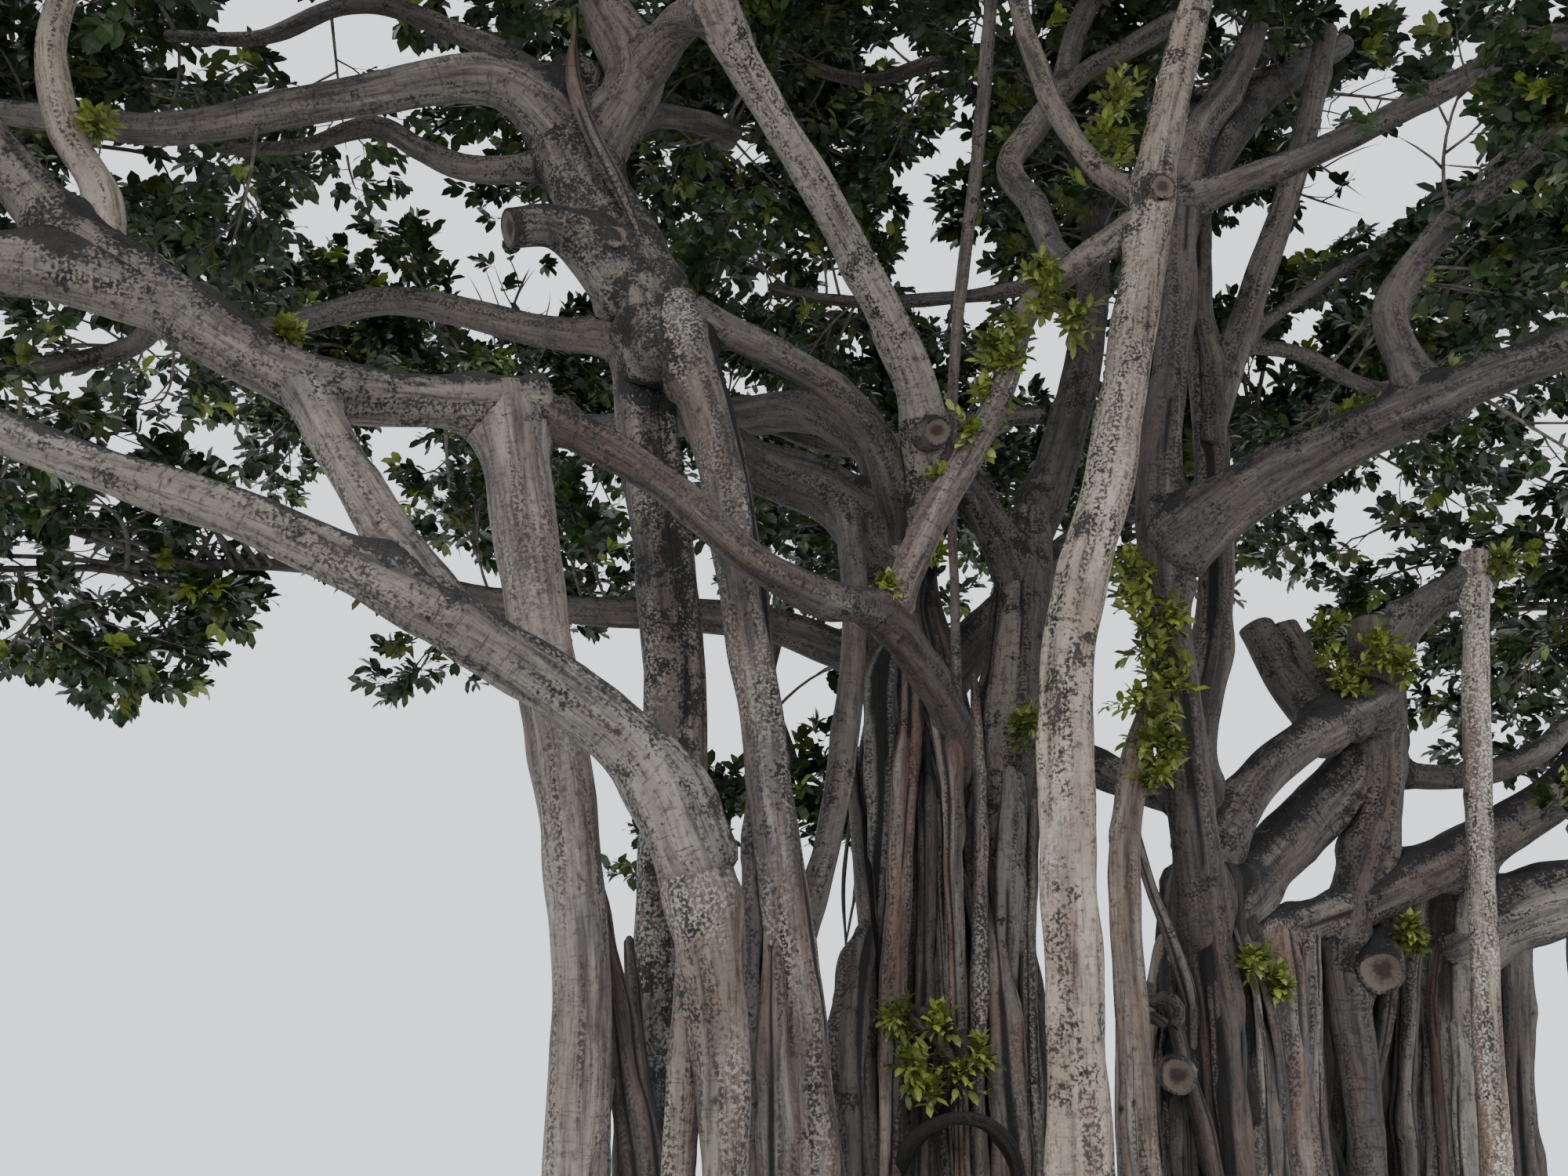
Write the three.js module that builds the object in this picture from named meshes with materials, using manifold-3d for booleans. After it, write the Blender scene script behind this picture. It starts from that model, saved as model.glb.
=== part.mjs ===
// A banyan tree: a fused trunk with a ring of aerial-root pillars, long level boughs that graft into each
// other, and a wide crown of separate leaf masses. Millimetres, +Z up, the front of the tree faces -Y.
// The origin is on the ground, in the middle of the flat cut under the main trunk.
import * as THREE from "three";
import { mergeVertices } from "three/addons/utils/BufferGeometryUtils.js";
import Module from "manifold-3d";

const wasm = await Module();
wasm.setup();

// Driving sizes. Tables below are in metres and are scaled by this.
const metre = 1000;
const gap = 0.3; // clearance between neighbouring solids
const ringPitch = 720; // length of one ring of faces along a limb
const limbSides = 7;
const flareHeight = 0.3 * metre; // how fast a root flare dies away above the ground
const groundDepth = 0.4 * metre; // pillars start this far down, then are cut flat at the ground

// Foliage: every mass has the same number of twigs and sprays, whatever its size.
// The stem's knee stands at a share of the way to the middle, and its radii are shares of the bough's tip.
const stem = { knee: 0.35, overlap: 0.06, radii: [0.98, 0.8, 0.45] };
// Twigs point from `first` downwards over `span`, as sines of their heights, to a share of the mass's reach.
// A tip that isn't free is drawn in step by step, but no nearer than `least`.
const twig = {
  count: 7, first: 0.92, span: 1.7, reach: 0.86, turnJitter: 0.8, radii: [0.6, 0.4], drawIn: 0.08,
  least: 0.6 * metre, checks: [0.35, 0.5, 0.65, 0.8, 1],
};
const spray = {
  places: [0.52, 0.78, 1], // along its twig
  length: 1.3 * metre, width: 0.84 * metre, thick: 0.09 * metre, sunk: 0.02, roll: 1.1,
  turn: [0.75, 0.5], // least turn off the twig, and how much more it may be
  level: 0.6, lift: 0.25,
  checks: [[0.5, 0], [0.2, 0], [0, 0.5], [0, -0.5]], // places on the blade, in shares of its length and width
};
const chances = { bearing: 0, turn: 40, lift: 90, roll: 150 }; // separate runs of the repeatable numbers
const goldenAngle = Math.PI * (3 - Math.sqrt(5));
const borderClear = 0.04; // share of a mass's reach kept free along its border with the next mass
const weldDistance = 1e-3;

// Limbs. `through` is the centre line from root to tip and `radii` are spread evenly along it, in metres.
// `flare` widens a pillar's foot, `flutes` are the lobes of roots grown together, and `strands` are further
// roots or sawn stubs fused to the limb. A limb is cut back by each one that is listed before it.
const limbs = {
  // The trunk and the pillars that stand on the ground.
  trunk: {
    through: [[0.06, 0, 0], [0.06, 0, 1.4], [0.06, 0, 2.6], [0.0, 0, 3.8], [-0.13, 0, 4.9],
      [-0.14, 0, 5.5]],
    radii: [0.62, 0.6, 0.57, 0.5, 0.39, 0.31, 0.27],
    sides: 28, flutes: 7, fluteDepth: 0.12, flare: 0.32,
  },
  right_trunk: {
    through: [[1.56, -0.4, 0], [1.53, -0.4, 1.4], [1.56, -0.4, 2.4], [1.57, -0.4, 3.0]],
    radii: [0.4, 0.37, 0.35, 0.26],
    sides: 20, flutes: 5, fluteDepth: 0.12, flare: 0.3,
  },
  left_pillar: {
    through: [[-1.7, -2.6, 0], [-1.71, -2.6, 1.6], [-1.72, -2.6, 2.25], [-1.82, -2.6, 3.0],
      [-2.03, -2.6, 4.07],
      [-2.2, -2.6, 4.98]],
    radii: [0.16, 0.15, 0.135, 0.125, 0.138, 0.148, 0.165], flare: 0.4,
  },
  front_pillar: {
    through: [[-1.08, -3.1, 0], [-1.09, -3.1, 1.9], [-1.15, -3.1, 2.35], [-1.22, -3.1, 2.85]],
    radii: [0.074, 0.07, 0.075, 0.11, 0.19], flare: 0.6,
    strands: [{ through: [[-1.27, -2.98, 0], [-1.26, -2.98, 1.6], [-1.2, -3.06, 2.5]],
      radii: [0.065, 0.058, 0.07] }],
  },
  slim_pillars: {
    through: [[-1.48, -1.5, 0], [-1.52, -1.5, 2.2], [-1.5, -1.5, 3.8], [-1.6, -1.5, 4.8],
      [-1.74, -1.58, 5.95]],
    radii: [0.1, 0.09, 0.088, 0.094, 0.092], flare: 0.5,
    strands: [{
      through: [[-1.34, -1.42, 0], [-1.38, -1.42, 2.2], [-1.38, -1.42, 3.8], [-1.47, -1.42, 4.8],
      [-1.6, -1.5, 5.9]],
      radii: [0.1, 0.09, 0.085, 0.085, 0.08],
    }],
  },
  bent_pillar: {
    through: [[-0.8, -2, 0], [-0.78, -2, 1.9], [-0.86, -2, 2.75], [-1.03, -1.9, 4.05], [-1.24, -1.86, 5.25],
      [-1.45, -1.75, 5.95]],
    radii: [0.24, 0.225, 0.2, 0.13, 0.108, 0.122, 0.138, 0.15],
    flare: 0.35, flutes: 3, fluteDepth: 0.08, sides: 12,
  },
  pale_pillar: {
    through: [[0.4, -2.3, 0], [0.47, -2.3, 2.8], [0.51, -2.3, 3.7], [0.78, -2.3, 4.75], [1.04, -2.3, 5.95],
      [1.2, -2.3, 6.7], [1.46, -2.3, 7.6], [1.75, -2.3, 8.4]],
    radii: [0.15, 0.138, 0.124, 0.12, 0.12, 0.12, 0.114, 0.09, 0.075], flare: 0.5,
  },
  pale_root: {
    through: [[0.89, -1.3, 0], [0.91, -1.3, 2.1], [0.93, -1.25, 2.95], [1.08, -1.1, 3.6],
      [1.33, -0.97, 4.1]],
    radii: [0.1, 0.094, 0.09, 0.08, 0.07], flare: 0.5,
  },
  twisted_pillar: {
    through: [[2.5, 0.2, 0], [2.55, 0.2, 2.0], [2.56, 0.2, 2.75], [2.88, 0.2, 3.6], [2.97, 0.2, 4.7]],
    radii: [0.15, 0.125, 0.11, 0.125, 0.15, 0.16], flare: 0.4,
  },
  edge_pillar: {
    through: [[3.1, -0.1, 0], [3.17, -0.1, 1.6], [3.4, -0.1, 3.83], [3.57, -0.1, 5.1]],
    radii: [0.092, 0.085, 0.078, 0.085], flare: 0.5,
  },
  broad_pillar: {
    through: [[3.28, 0.9, 0], [3.32, 0.88, 1.4], [3.41, 0.8, 2.6], [3.46, 0.6, 3.2]],
    radii: [0.26, 0.245, 0.225, 0.17], flare: 0.35, flutes: 4, fluteDepth: 0.1, sides: 12,
    strands: [
      { through: [[3.42, 0.75, 2.75], [3.95, 0.72, 2.98], [4.6, 0.85, 3.1], [5.25, 1.15, 3.3]],
        radii: [0.2, 0.24, 0.23, 0.19] },
      { through: [[5.1, 1.08, 0], [5.12, 1.1, 1.8], [5.16, 1.12, 3.2]], radii: [0.17, 0.15, 0.14] },
    ],
  },

  // Stems that stand on the trunks and pillars.
  second_stem: {
    through: [[0.4, -0.15, 2.9], [0.5, -0.2, 3.6], [0.62, -0.2, 4.6], [0.72, -0.1, 5.35]],
    radii: [0.22, 0.21, 0.195, 0.15],
    strands: [
      { through: [[0.63, -0.2, 4.8], [0.38, -0.4, 5.32], [0.1, -0.66, 5.52]], radii: [0.12, 0.108, 0.095] },
      { through: [[0.55, -0.15, 3.9], [1.0, -0.15, 3.72], [1.42, -0.7, 3.4]], radii: [0.12, 0.1, 0.09] },
    ],
  },
  riser: {
    through: [[0.7, -0.12, 5.15], [0.98, 0, 5.9], [1.24, 0.1, 6.8], [1.35, 0.2, 8.1], [1.07, 0.2, 8.9],
      [0.9, 0.2, 9.7]],
    radii: [0.15, 0.135, 0.118, 0.1, 0.08, 0.07],
  },
  left_stem: {
    through: [[-1.53, -1.7, 5.65], [-1.66, -1.7, 6.2], [-2.0, -1.7, 6.8], [-2.12, -1.7, 7.25],
      [-2.1, -1.72, 7.55]],
    radii: [0.19, 0.22, 0.23, 0.22, 0.15],
    strands: [{
      through: [[-1.75, -1.75, 6.02], [-1.95, -1.9, 6.26], [-2.13, -2, 6.34], [-2.34, -2.1, 6.27]],
      radii: [0.14, 0.122, 0.1, 0.094],
    }],
  },
  right_stem: {
    through: [[1.52, -0.5, 2.6], [1.42, -0.84, 3.2], [1.34, -0.97, 4.3], [1.36, -1, 5.3], [1.55, -1, 6.3],
      [1.67, -1, 7.2]],
    radii: [0.15, 0.13, 0.14, 0.145, 0.115, 0.1, 0.09],
  },
  fluted_stem: {
    through: [[1.58, -0.36, 2.8], [1.57, -0.4, 3.7], [1.75, -0.4, 4.45], [1.84, -0.4, 5.3],
      [1.86, -0.4, 6.5],
      [1.8, -0.8, 7.25]],
    radii: [0.13, 0.115, 0.112, 0.105, 0.092, 0.08],
  },
  right_riser: {
    through: [[1.87, -0.4, 5.9], [2.22, -0.45, 6.8], [2.59, -0.5, 7.75], [2.87, -0.62, 8.75]],
    radii: [0.082, 0.074, 0.07, 0.06],
  },

  // Boughs of the left half.
  low_left_bough: {
    through: [[-1.2, -3.1, 2.65], [-1.36, -3.12, 3.0], [-1.72, -3.2, 3.31], [-2.29, -3.4, 3.64],
      [-2.95, -3.62, 3.93],
      [-3.98, -3.8, 4.26], [-5.3, -3.9, 5.0]],
    radii: [0.18, 0.135, 0.12, 0.1, 0.088, 0.08, 0.072],
  },
  upper_left_bough: {
    through: [[-2.05, -2.58, 4.98], [-2.48, -2.76, 4.9], [-3.02, -3.05, 4.85], [-3.59, -3.25, 5.13],
      [-4.18, -3.4, 5.54], [-4.75, -3.7, 6.25]],
    radii: [0.12, 0.13, 0.138, 0.146, 0.13, 0.112, 0.1],
    strands: [{ through: [[-3.62, -3.27, 5.15], [-4.1, -3.42, 5.22], [-4.7, -3.55, 5.2]],
      radii: [0.14, 0.14, 0.13] }],
  },
  left_strut: {
    through: [[-2.25, -3.4, 3.62], [-2.62, -3.3, 4.16], [-2.85, -3.2, 4.51], [-3.06, -3.08, 4.86]],
    radii: [0.12, 0.104, 0.1, 0.1],
  },
  left_riser: {
    through: [[-3.93, -3.32, 5.35], [-3.97, -3.3, 5.66], [-4.2, -3.3, 6.02], [-4.34, -3.3, 6.45],
      [-4.33, -3.26, 7.1]],
    radii: [0.085, 0.08, 0.075, 0.068, 0.06],
  },
  crossing_limb: {
    through: [[-2.1, -2.58, 4.97], [-1.42, -2.5, 4.57], [-1.04, -2.4, 4.25], [-0.69, -2.1, 4.15],
      [-0.32, -1.7, 4.16],
      [0.1, -0.9, 3.78], [0.12, -0.3, 3.5]],
    radii: [0.1, 0.088, 0.09, 0.1, 0.106, 0.106, 0.1],
  },
  crossing_fork: {
    through: [[-0.32, -1.7, 4.14], [-0.1, -1.75, 4.62], [0.32, -1.9, 5.38], [0.45, -2.02, 5.8],
      [0.68, -2.12, 5.99],
      [1.06, -2.3, 6.2]],
    radii: [0.09, 0.086, 0.076, 0.074, 0.077],
  },
  slanting_root: {
    through: [[-0.82, -1.92, 2.35], [-0.61, -1.4, 3.1], [-0.5, -1.1, 3.8], [-0.44, -0.9, 4.56],
      [-0.47, -0.45, 5.4]],
    radii: [0.08, 0.074, 0.077, 0.07, 0.07],
  },
  high_left_bough: {
    through: [[-2.1, -1.75, 7.08], [-2.5, -1.92, 7.35], [-3.29, -2.1, 7.1], [-4.3, -2.05, 6.94],
      [-5.2, -1.8, 7.2]],
    radii: [0.17, 0.125, 0.108, 0.095, 0.078],
  },
  mid_left_bough: {
    through: [[-1.66, -1.6, 5.84], [-2.18, -1.6, 5.9], [-3.15, -1.42, 6.2], [-3.9, -1.3, 6.08],
      [-4.7, -0.95, 6.35]],
    radii: [0.1, 0.089, 0.082, 0.064, 0.05],
  },
  rear_low_bough: {
    through: [[-0.12, -0.15, 5.1], [-0.6, -0.3, 5.46], [-1.1, -0.45, 5.62], [-1.6, -1.4, 5.8]],
    radii: [0.2, 0.185, 0.15, 0.12],
  },
  leaning_limb: {
    through: [[0.0, -0.3, 5.1], [-0.03, -1.08, 5.66], [-0.59, -1.9, 6.5], [-1.14, -2.6, 7.13],
      [-1.3, -3.1, 7.4],
      [-1.2, -4.1, 7.95]],
    radii: [0.155, 0.14, 0.112, 0.1, 0.104, 0.1, 0.088],
  },
  shoulder_limb: {
    through: [[-1.35, -1.78, 5.9], [-0.94, -1.6, 5.79], [-0.4, -1.15, 5.6], [-0.1, -0.35, 5.15]],
    radii: [0.095, 0.09, 0.1, 0.12],
  },
  crown_fork_left: {
    through: [[-1.95, -1.7, 6.95], [-1.7, -1.88, 7.42], [-1.89, -1.9, 7.85], [-2.1, -1.85, 8.35]],
    radii: [0.13, 0.16, 0.14, 0.11],
  },
  crown_fork_right: {
    through: [[-1.68, -1.9, 7.42], [-1.42, -2.25, 7.5], [-1.2, -2.66, 7.2]],
    radii: [0.12, 0.11, 0.1],
  },
  rear_crown_branch: {
    through: [[-1.93, -1.6, 7.1], [-1.72, -1.1, 7.7], [-1.25, 0.3, 8.6], [-1.3, 1.1, 9.1]],
    radii: [0.09, 0.08, 0.078, 0.07],
  },
  rear_left_bough: {
    through: [[-0.1, -0.05, 5.15], [-0.2, 0, 5.85], [-0.6, 0.3, 6.3], [-1.14, 1.0, 6.62], [-2.3, 2.1, 7.05],
      [-3.0, 2.9, 7.45]],
    radii: [0.16, 0.15, 0.14, 0.115, 0.08],
  },
  rear_rail: {
    through: [[-0.2, 0.05, 4.4], [-1.0, 0.1, 4.72], [-2.27, 0.2, 4.85], [-3.7, 1.05, 5.35]],
    radii: [0.125, 0.108, 0.086, 0.065],
  },

  // Boughs of the right half and the back.
  right_bough: {
    through: [[1.4, -1.05, 4.8], [1.78, -1.28, 5.06], [2.1, -1.5, 5.17], [2.65, -2.1, 5.28],
      [3.3, -2.6, 5.42],
      [4.15, -3.3, 6.1]],
    radii: [0.19, 0.17, 0.12, 0.1, 0.084, 0.075],
  },
  high_right_bough: {
    through: [[1.64, -1, 7.12], [2.51, -1.2, 7.4], [3.15, -1.45, 7.63], [3.87, -1.5, 7.99],
      [4.6, -1.0, 8.1]],
    radii: [0.095, 0.08, 0.076, 0.072, 0.066],
  },
  dark_bough: {
    through: [[1.68, -0.98, 7.08], [2.25, -0.6, 8.08], [2.73, -0.25, 8.67], [3.1, 0.2, 9.15]],
    radii: [0.095, 0.118, 0.112, 0.09],
  },
  right_fork_low: {
    through: [[1.6, -0.35, 2.85], [2.22, 0.08, 3.48], [2.96, 0.38, 4.05]],
    radii: [0.17, 0.178, 0.15],
  },
  right_fork_high: {
    through: [[1.6, -0.42, 3.1], [2.05, -0.36, 3.68], [2.92, 0.08, 4.2]],
    radii: [0.13, 0.127, 0.13],
  },
  stump_arm: {
    through: [[2.97, 0.18, 4.5], [3.26, 0.06, 4.82], [3.6, -0.08, 4.98]],
    radii: [0.125, 0.116, 0.1],
  },
  low_rail: {
    through: [[1.5, -0.42, 2.48], [2.0, -0.12, 2.72], [2.62, 0.2, 2.95]],
    radii: [0.125, 0.114, 0.11],
    strands: [
      { through: [[1.99, 0.14, 0], [2.03, 0.06, 1.6], [2.08, 0.0, 2.8]], radii: [0.14, 0.125, 0.11] },
      { through: [[2.16, -0.06, 0], [2.18, -0.04, 1.5], [2.24, 0.02, 2.85]], radii: [0.085, 0.075, 0.07] },
    ],
  },
  low_right_bough: {
    through: [[2.64, 0.2, 2.95], [3.3, 0.35, 3.24], [4.22, 0.6, 3.73], [5.0, 0.95, 4.5]],
    radii: [0.145, 0.158, 0.15, 0.1],
  },
  back_bough: {
    through: [[-0.1, 0.1, 4.5], [-0.1, 1.6, 5.9], [0.0, 3.1, 6.9], [0.05, 4.3, 7.5]],
    radii: [0.17, 0.14, 0.11, 0.085],
  },
  back_right_bough: {
    through: [[0.1, 0.05, 4.3], [1.2, 1.2, 5.6], [2.2, 2.35, 6.6], [2.95, 3.1, 7.3]],
    radii: [0.17, 0.14, 0.11, 0.085],
  },
};

// Leaf masses: the limb whose tip each one grows from, the middle of its space and its reach along X, Y, Z.
const masses = {
  foliage_right: { bough: "high_right_bough", middle: [6.3, 0.1, 8.0], reach: [2.5, 2.4, 1.7] },
  foliage_back_right: { bough: "back_right_bough", middle: [4.3, 4.3, 8.2], reach: [2.5, 2.4, 1.7] },
  foliage_back: { bough: "back_bough", middle: [0.1, 6.1, 8.3], reach: [2.5, 2.2, 1.7] },
  foliage_back_left: { bough: "rear_left_bough", middle: [-4.2, 4.3, 8.3], reach: [2.5, 2.4, 1.7] },
  foliage_left: { bough: "high_left_bough", middle: [-6.5, 0.2, 8.1], reach: [2.4, 2.4, 1.7] },
  foliage_front_left: { bough: "upper_left_bough", middle: [-5.0, -4.4, 7.9], reach: [2.3, 2.3, 1.6] },
  foliage_front: { bough: "leaning_limb", middle: [-0.4, -6.0, 8.7], reach: [2.6, 2.2, 1.5] },
  foliage_front_right: { bough: "right_bough", middle: [4.5, -4.5, 7.8], reach: [2.5, 2.4, 1.7] },
  foliage_low_left: { bough: "low_left_bough", middle: [-6.9, -3.7, 5.7], reach: [1.9, 1.9, 1.2] },
  foliage_low_back_left: { bough: "rear_rail", middle: [-6.6, 1.5, 5.6], reach: [1.9, 2.0, 1.3] },
  foliage_low_right: { bough: "low_right_bough", middle: [5.8, 3.3, 5.9], reach: [2.1, 2.1, 1.3] },
  foliage_upper_front_right: { bough: "pale_pillar", middle: [2.4, -2.2, 10.1], reach: [2.5, 2.3, 1.6] },
  foliage_upper_back_right: { bough: "dark_bough", middle: [2.5, 2.3, 10.2], reach: [2.4, 2.3, 1.6] },
  foliage_upper_back_left: { bough: "rear_crown_branch", middle: [-1.8, 2.7, 10.3], reach: [2.4, 2.3, 1.6] },
  foliage_upper_left: { bough: "crown_fork_left", middle: [-2.6, -1.7, 10.1], reach: [2.5, 2.4, 1.6] },
  foliage_top: { bough: "riser", middle: [0.4, 0.3, 11.2], reach: [2.1, 2.1, 1.3] },
};

const bark = { color: 0x857d73, roughness: 0.92, metalness: 0 };
const paleBark = { color: 0xa69c8e, roughness: 0.9, metalness: 0 };
const leaf = { color: 0x2c4a1e, roughness: 0.55, metalness: 0 };
const paleLimbs = ["pale_pillar", "pale_root", "edge_pillar", "front_pillar", "left_riser"];

// A closed three.js geometry as a solid that can be cut and joined.
function solidOf(geometry) {
  geometry.deleteAttribute("normal");
  geometry.deleteAttribute("uv");
  const merged = mergeVertices(geometry, weldDistance);
  return new wasm.Manifold(new wasm.Mesh({
    numProp: 3,
    vertProperties: merged.attributes.position.array,
    triVerts: new Uint32Array(merged.index.array),
  }));
}

function geometryOf(solid) {
  const mesh = solid.getMesh();
  const geometry = new THREE.BufferGeometry();
  geometry.setAttribute("position", new THREE.BufferAttribute(mesh.vertProperties, 3));
  geometry.setIndex(new THREE.BufferAttribute(mesh.triVerts, 1));
  geometry.computeVertexNormals();
  return geometry;
}

function largestPiece(solid) {
  return solid.decompose().reduce((a, b) => (a.volume() > b.volume() ? a : b));
}

// Reads a list of values spread evenly over 0 to 1.
function spreadOver(values, t) {
  const place = t * (values.length - 1);
  const first = Math.min(Math.floor(place), values.length - 2);
  return THREE.MathUtils.lerp(values[first], values[first + 1], place - first);
}

function centreLine(limb) {
  const points = limb.through.map((p) => new THREE.Vector3(...p).multiplyScalar(metre));
  if (limb.through[0][2] === 0) points[0].z = -groundDepth;
  return new THREE.CatmullRomCurve3(points, false, "centripetal");
}

// A limb is a cylinder whose rings are carried along its centre line. `grow` swells it on every side.
function limbSolid(limb, grow = 0) {
  const { radii, sides = limbSides, flutes = 0, fluteDepth = 0, flare = 0 } = limb;
  const curve = centreLine(limb);
  const rings = Math.max(3, Math.round(curve.getLength() / ringPitch));
  const frames = curve.computeFrenetFrames(rings);
  const geometry = new THREE.CylinderGeometry(1, 1, 1, sides, rings);
  const position = geometry.attributes.position;
  for (let i = 0; i < position.count; i++) {
    const t = position.getY(i) + 0.5;
    const ring = Math.round(t * rings);
    const centre = curve.getPointAt(ring / rings);
    const along = frames.tangents[ring];
    const across = new THREE.Vector3().crossVectors(frames.normals[ring], along);
    const angle = Math.atan2(position.getX(i), position.getZ(i));
    const lobe = 1 + fluteDepth * Math.cos(flutes * angle + t);
    const foot = 1 + flare * Math.exp(-Math.max(centre.z, 0) / flareHeight);
    const radius = spreadOver(radii, t) * metre * lobe * foot + grow;
    centre.addScaledVector(frames.normals[ring], position.getX(i) * radius);
    centre.addScaledVector(across, position.getZ(i) * radius);
    if (ring === 0) centre.addScaledVector(along, -grow);
    if (ring === rings) centre.addScaledVector(along, grow);
    position.setXYZ(i, centre.x, centre.y, centre.z);
  }
  return solidOf(geometry);
}

function strandsOf(limb) {
  return [limb, ...(limb.strands ?? []).map((strand) => ({ flare: limb.flare, ...strand }))];
}

const soilSize = { side: 30 * metre, depth: 2 * metre };
const soil = solidOf(new THREE.BoxGeometry(soilSize.side, soilSize.side, soilSize.depth)
  .translate(0, 0, -soilSize.depth / 2));

function fusedLimb(limb, grow = 0) {
  return strandsOf(limb).map((strand) => limbSolid(strand, grow)).reduce((a, b) => a.add(b));
}

function boxesMeet(a, b) {
  const [p, q] = [a.boundingBox(), b.boundingBox()];
  return [0, 1, 2].every((k) => p.min[k] < q.max[k] && q.min[k] < p.max[k]);
}

// Limbs in order, each one cut back by those before it.
const limbSolids = {};
const swollen = [];
for (const [name, limb] of Object.entries(limbs)) {
  let solid = fusedLimb(limb).subtract(soil);
  for (const other of swollen) if (boxesMeet(solid, other)) solid = solid.subtract(other);
  limbSolids[name] = largestPiece(solid);
  swollen.push(fusedLimb(limb, gap));
}

// A twig or spray that would touch a limb is left out.
function touchesLimb(solid) {
  return swollen.some((limb) => boxesMeet(solid, limb) && !solid.intersect(limb).isEmpty());
}

// A repeatable number from 0 to 1 for a place in a mass.
function chance(seed, index) {
  const wave = Math.sin(seed * 12.9898 + index * 78.233) * 43758.5453;
  return wave - Math.floor(wave);
}

// How deep a point lies in a mass: 0 at its middle and 1 on the border of its space.
function depthIn(mass, point) {
  const [x, y, z] = point.toArray().map((v, k) => (v / metre - mass.middle[k]) / mass.reach[k]);
  return Math.hypot(x, y, z);
}

// A point is free for a mass inside its space and nearer to it than to the others.
function isFree(name, point) {
  const own = depthIn(masses[name], point);
  return own <= 1 && Object.entries(masses).every(
    ([other, mass]) => other === name || depthIn(mass, point) > own + borderClear);
}

// A straight three-sided twig.
function twigSolid(from, to, startRadius, endRadius) {
  const length = from.distanceTo(to);
  const geometry = new THREE.CylinderGeometry(endRadius, startRadius, length, 3, 1);
  const turn = new THREE.Quaternion().setFromUnitVectors(
    new THREE.Vector3(0, 1, 0), to.clone().sub(from).normalize());
  geometry.applyQuaternion(turn);
  geometry.translate(...from.clone().add(to).multiplyScalar(0.5).toArray());
  return solidOf(geometry);
}

// A spray of leaves is a flat eight-faced blade along `heading`, rolled about it, with its root in the twig.
function sprayFrame(root, heading, roll) {
  const side = new THREE.Vector3(0, 0, 1).cross(heading).normalize().applyAxisAngle(heading, roll);
  const face = new THREE.Vector3().crossVectors(heading, side);
  const middle = root.clone().addScaledVector(heading, spray.length * (0.5 - spray.sunk));
  return { side, face, middle, heading };
}

function spraySolid({ side, face, middle, heading }) {
  const geometry = new THREE.OctahedronGeometry(1, 0);
  geometry.scale(spray.length / 2, spray.width / 2, spray.thick / 2);
  geometry.applyMatrix4(new THREE.Matrix4().makeBasis(heading, side, face).setPosition(middle));
  return solidOf(geometry);
}

function sprayIsFree(name, { side, middle, heading }) {
  return spray.checks.every(([ahead, aside]) => isFree(name, middle.clone()
    .addScaledVector(heading, ahead * spray.length).addScaledVector(side, aside * spray.width)));
}

// The stem of a mass leaves its bough's tip straight on, then bends to the middle of the space.
function stemLine(mass) {
  const bough = centreLine(limbs[mass.bough]);
  const along = bough.getTangentAt(1);
  const start = bough.getPointAt(1).addScaledVector(along, gap);
  const middle = new THREE.Vector3(...mass.middle).multiplyScalar(metre);
  const knee = start.clone().addScaledVector(along, stem.knee * start.distanceTo(middle));
  return { start, knee, middle, radius: limbs[mass.bough].radii.at(-1) * metre };
}

// The twigs of a mass go round it at golden angles, from high to low.
function twigTip(name, seed, k, middle) {
  const height = twig.first - (twig.span * (k + 0.5)) / twig.count;
  const bearing = k * goldenAngle + chance(seed, chances.bearing + k) * twig.turnJitter + seed;
  const level = Math.sqrt(1 - height * height);
  const outward = new THREE.Vector3(Math.cos(bearing) * level, Math.sin(bearing) * level, height);
  const reach = new THREE.Vector3(...masses[name].reach).multiplyScalar(metre * twig.reach);
  const tip = middle.clone().add(outward.multiply(reach));
  while (!isFree(name, tip) && tip.distanceTo(middle) > twig.least) tip.lerp(middle, twig.drawIn);
  return tip;
}

function spraysOf(name, seed, k, root, tip) {
  const heading = tip.clone().sub(root).normalize();
  const up = new THREE.Vector3(0, 0, 1);
  const solids = [];
  spray.places.forEach((place, j) => {
    const [least, more] = spray.turn;
    const hand = j % 2 ? 1 : -1;
    const turn = place === 1 ? 0 : hand * (least + more * chance(seed, chances.turn + 7 * k + j));
    const way = heading.clone().applyAxisAngle(up, turn);
    way.z = way.z * spray.level + spray.lift * (chance(seed, chances.lift + 5 * k + j) - 0.5);
    const roll = spray.roll * (2 * chance(seed, chances.roll + 9 * k + j) - 1);
    const frame = sprayFrame(root.clone().lerp(tip, place), way.normalize(), roll);
    const solid = spraySolid(frame);
    if (sprayIsFree(name, frame) && !touchesLimb(solid)) solids.push(solid);
  });
  return solids;
}

function massSolid(name, seed) {
  const { start, knee, middle, radius } = stemLine(masses[name]);
  const [first, second, last] = stem.radii.map((share) => share * radius);
  const pieces = [
    twigSolid(start, knee, first, second),
    twigSolid(knee.clone().lerp(start, stem.overlap), middle, second, last),
  ];
  for (let k = 0; k < twig.count; k++) {
    const root = knee.clone().lerp(middle, (k + 1.5) / (twig.count + 1));
    const tip = twigTip(name, seed, k, middle);
    if (!twig.checks.every((share) => isFree(name, root.clone().lerp(tip, share)))) continue;
    const solid = twigSolid(root, tip, ...twig.radii.map((share) => share * radius));
    if (!touchesLimb(solid)) pieces.push(solid, ...spraysOf(name, seed, k, root, tip));
  }
  return largestPiece(wasm.Manifold.union(pieces));
}

function addNode(tree, name, solid, look) {
  const mesh = new THREE.Mesh(geometryOf(solid), new THREE.MeshStandardMaterial(look));
  mesh.name = name;
  tree.add(mesh);
}

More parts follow.
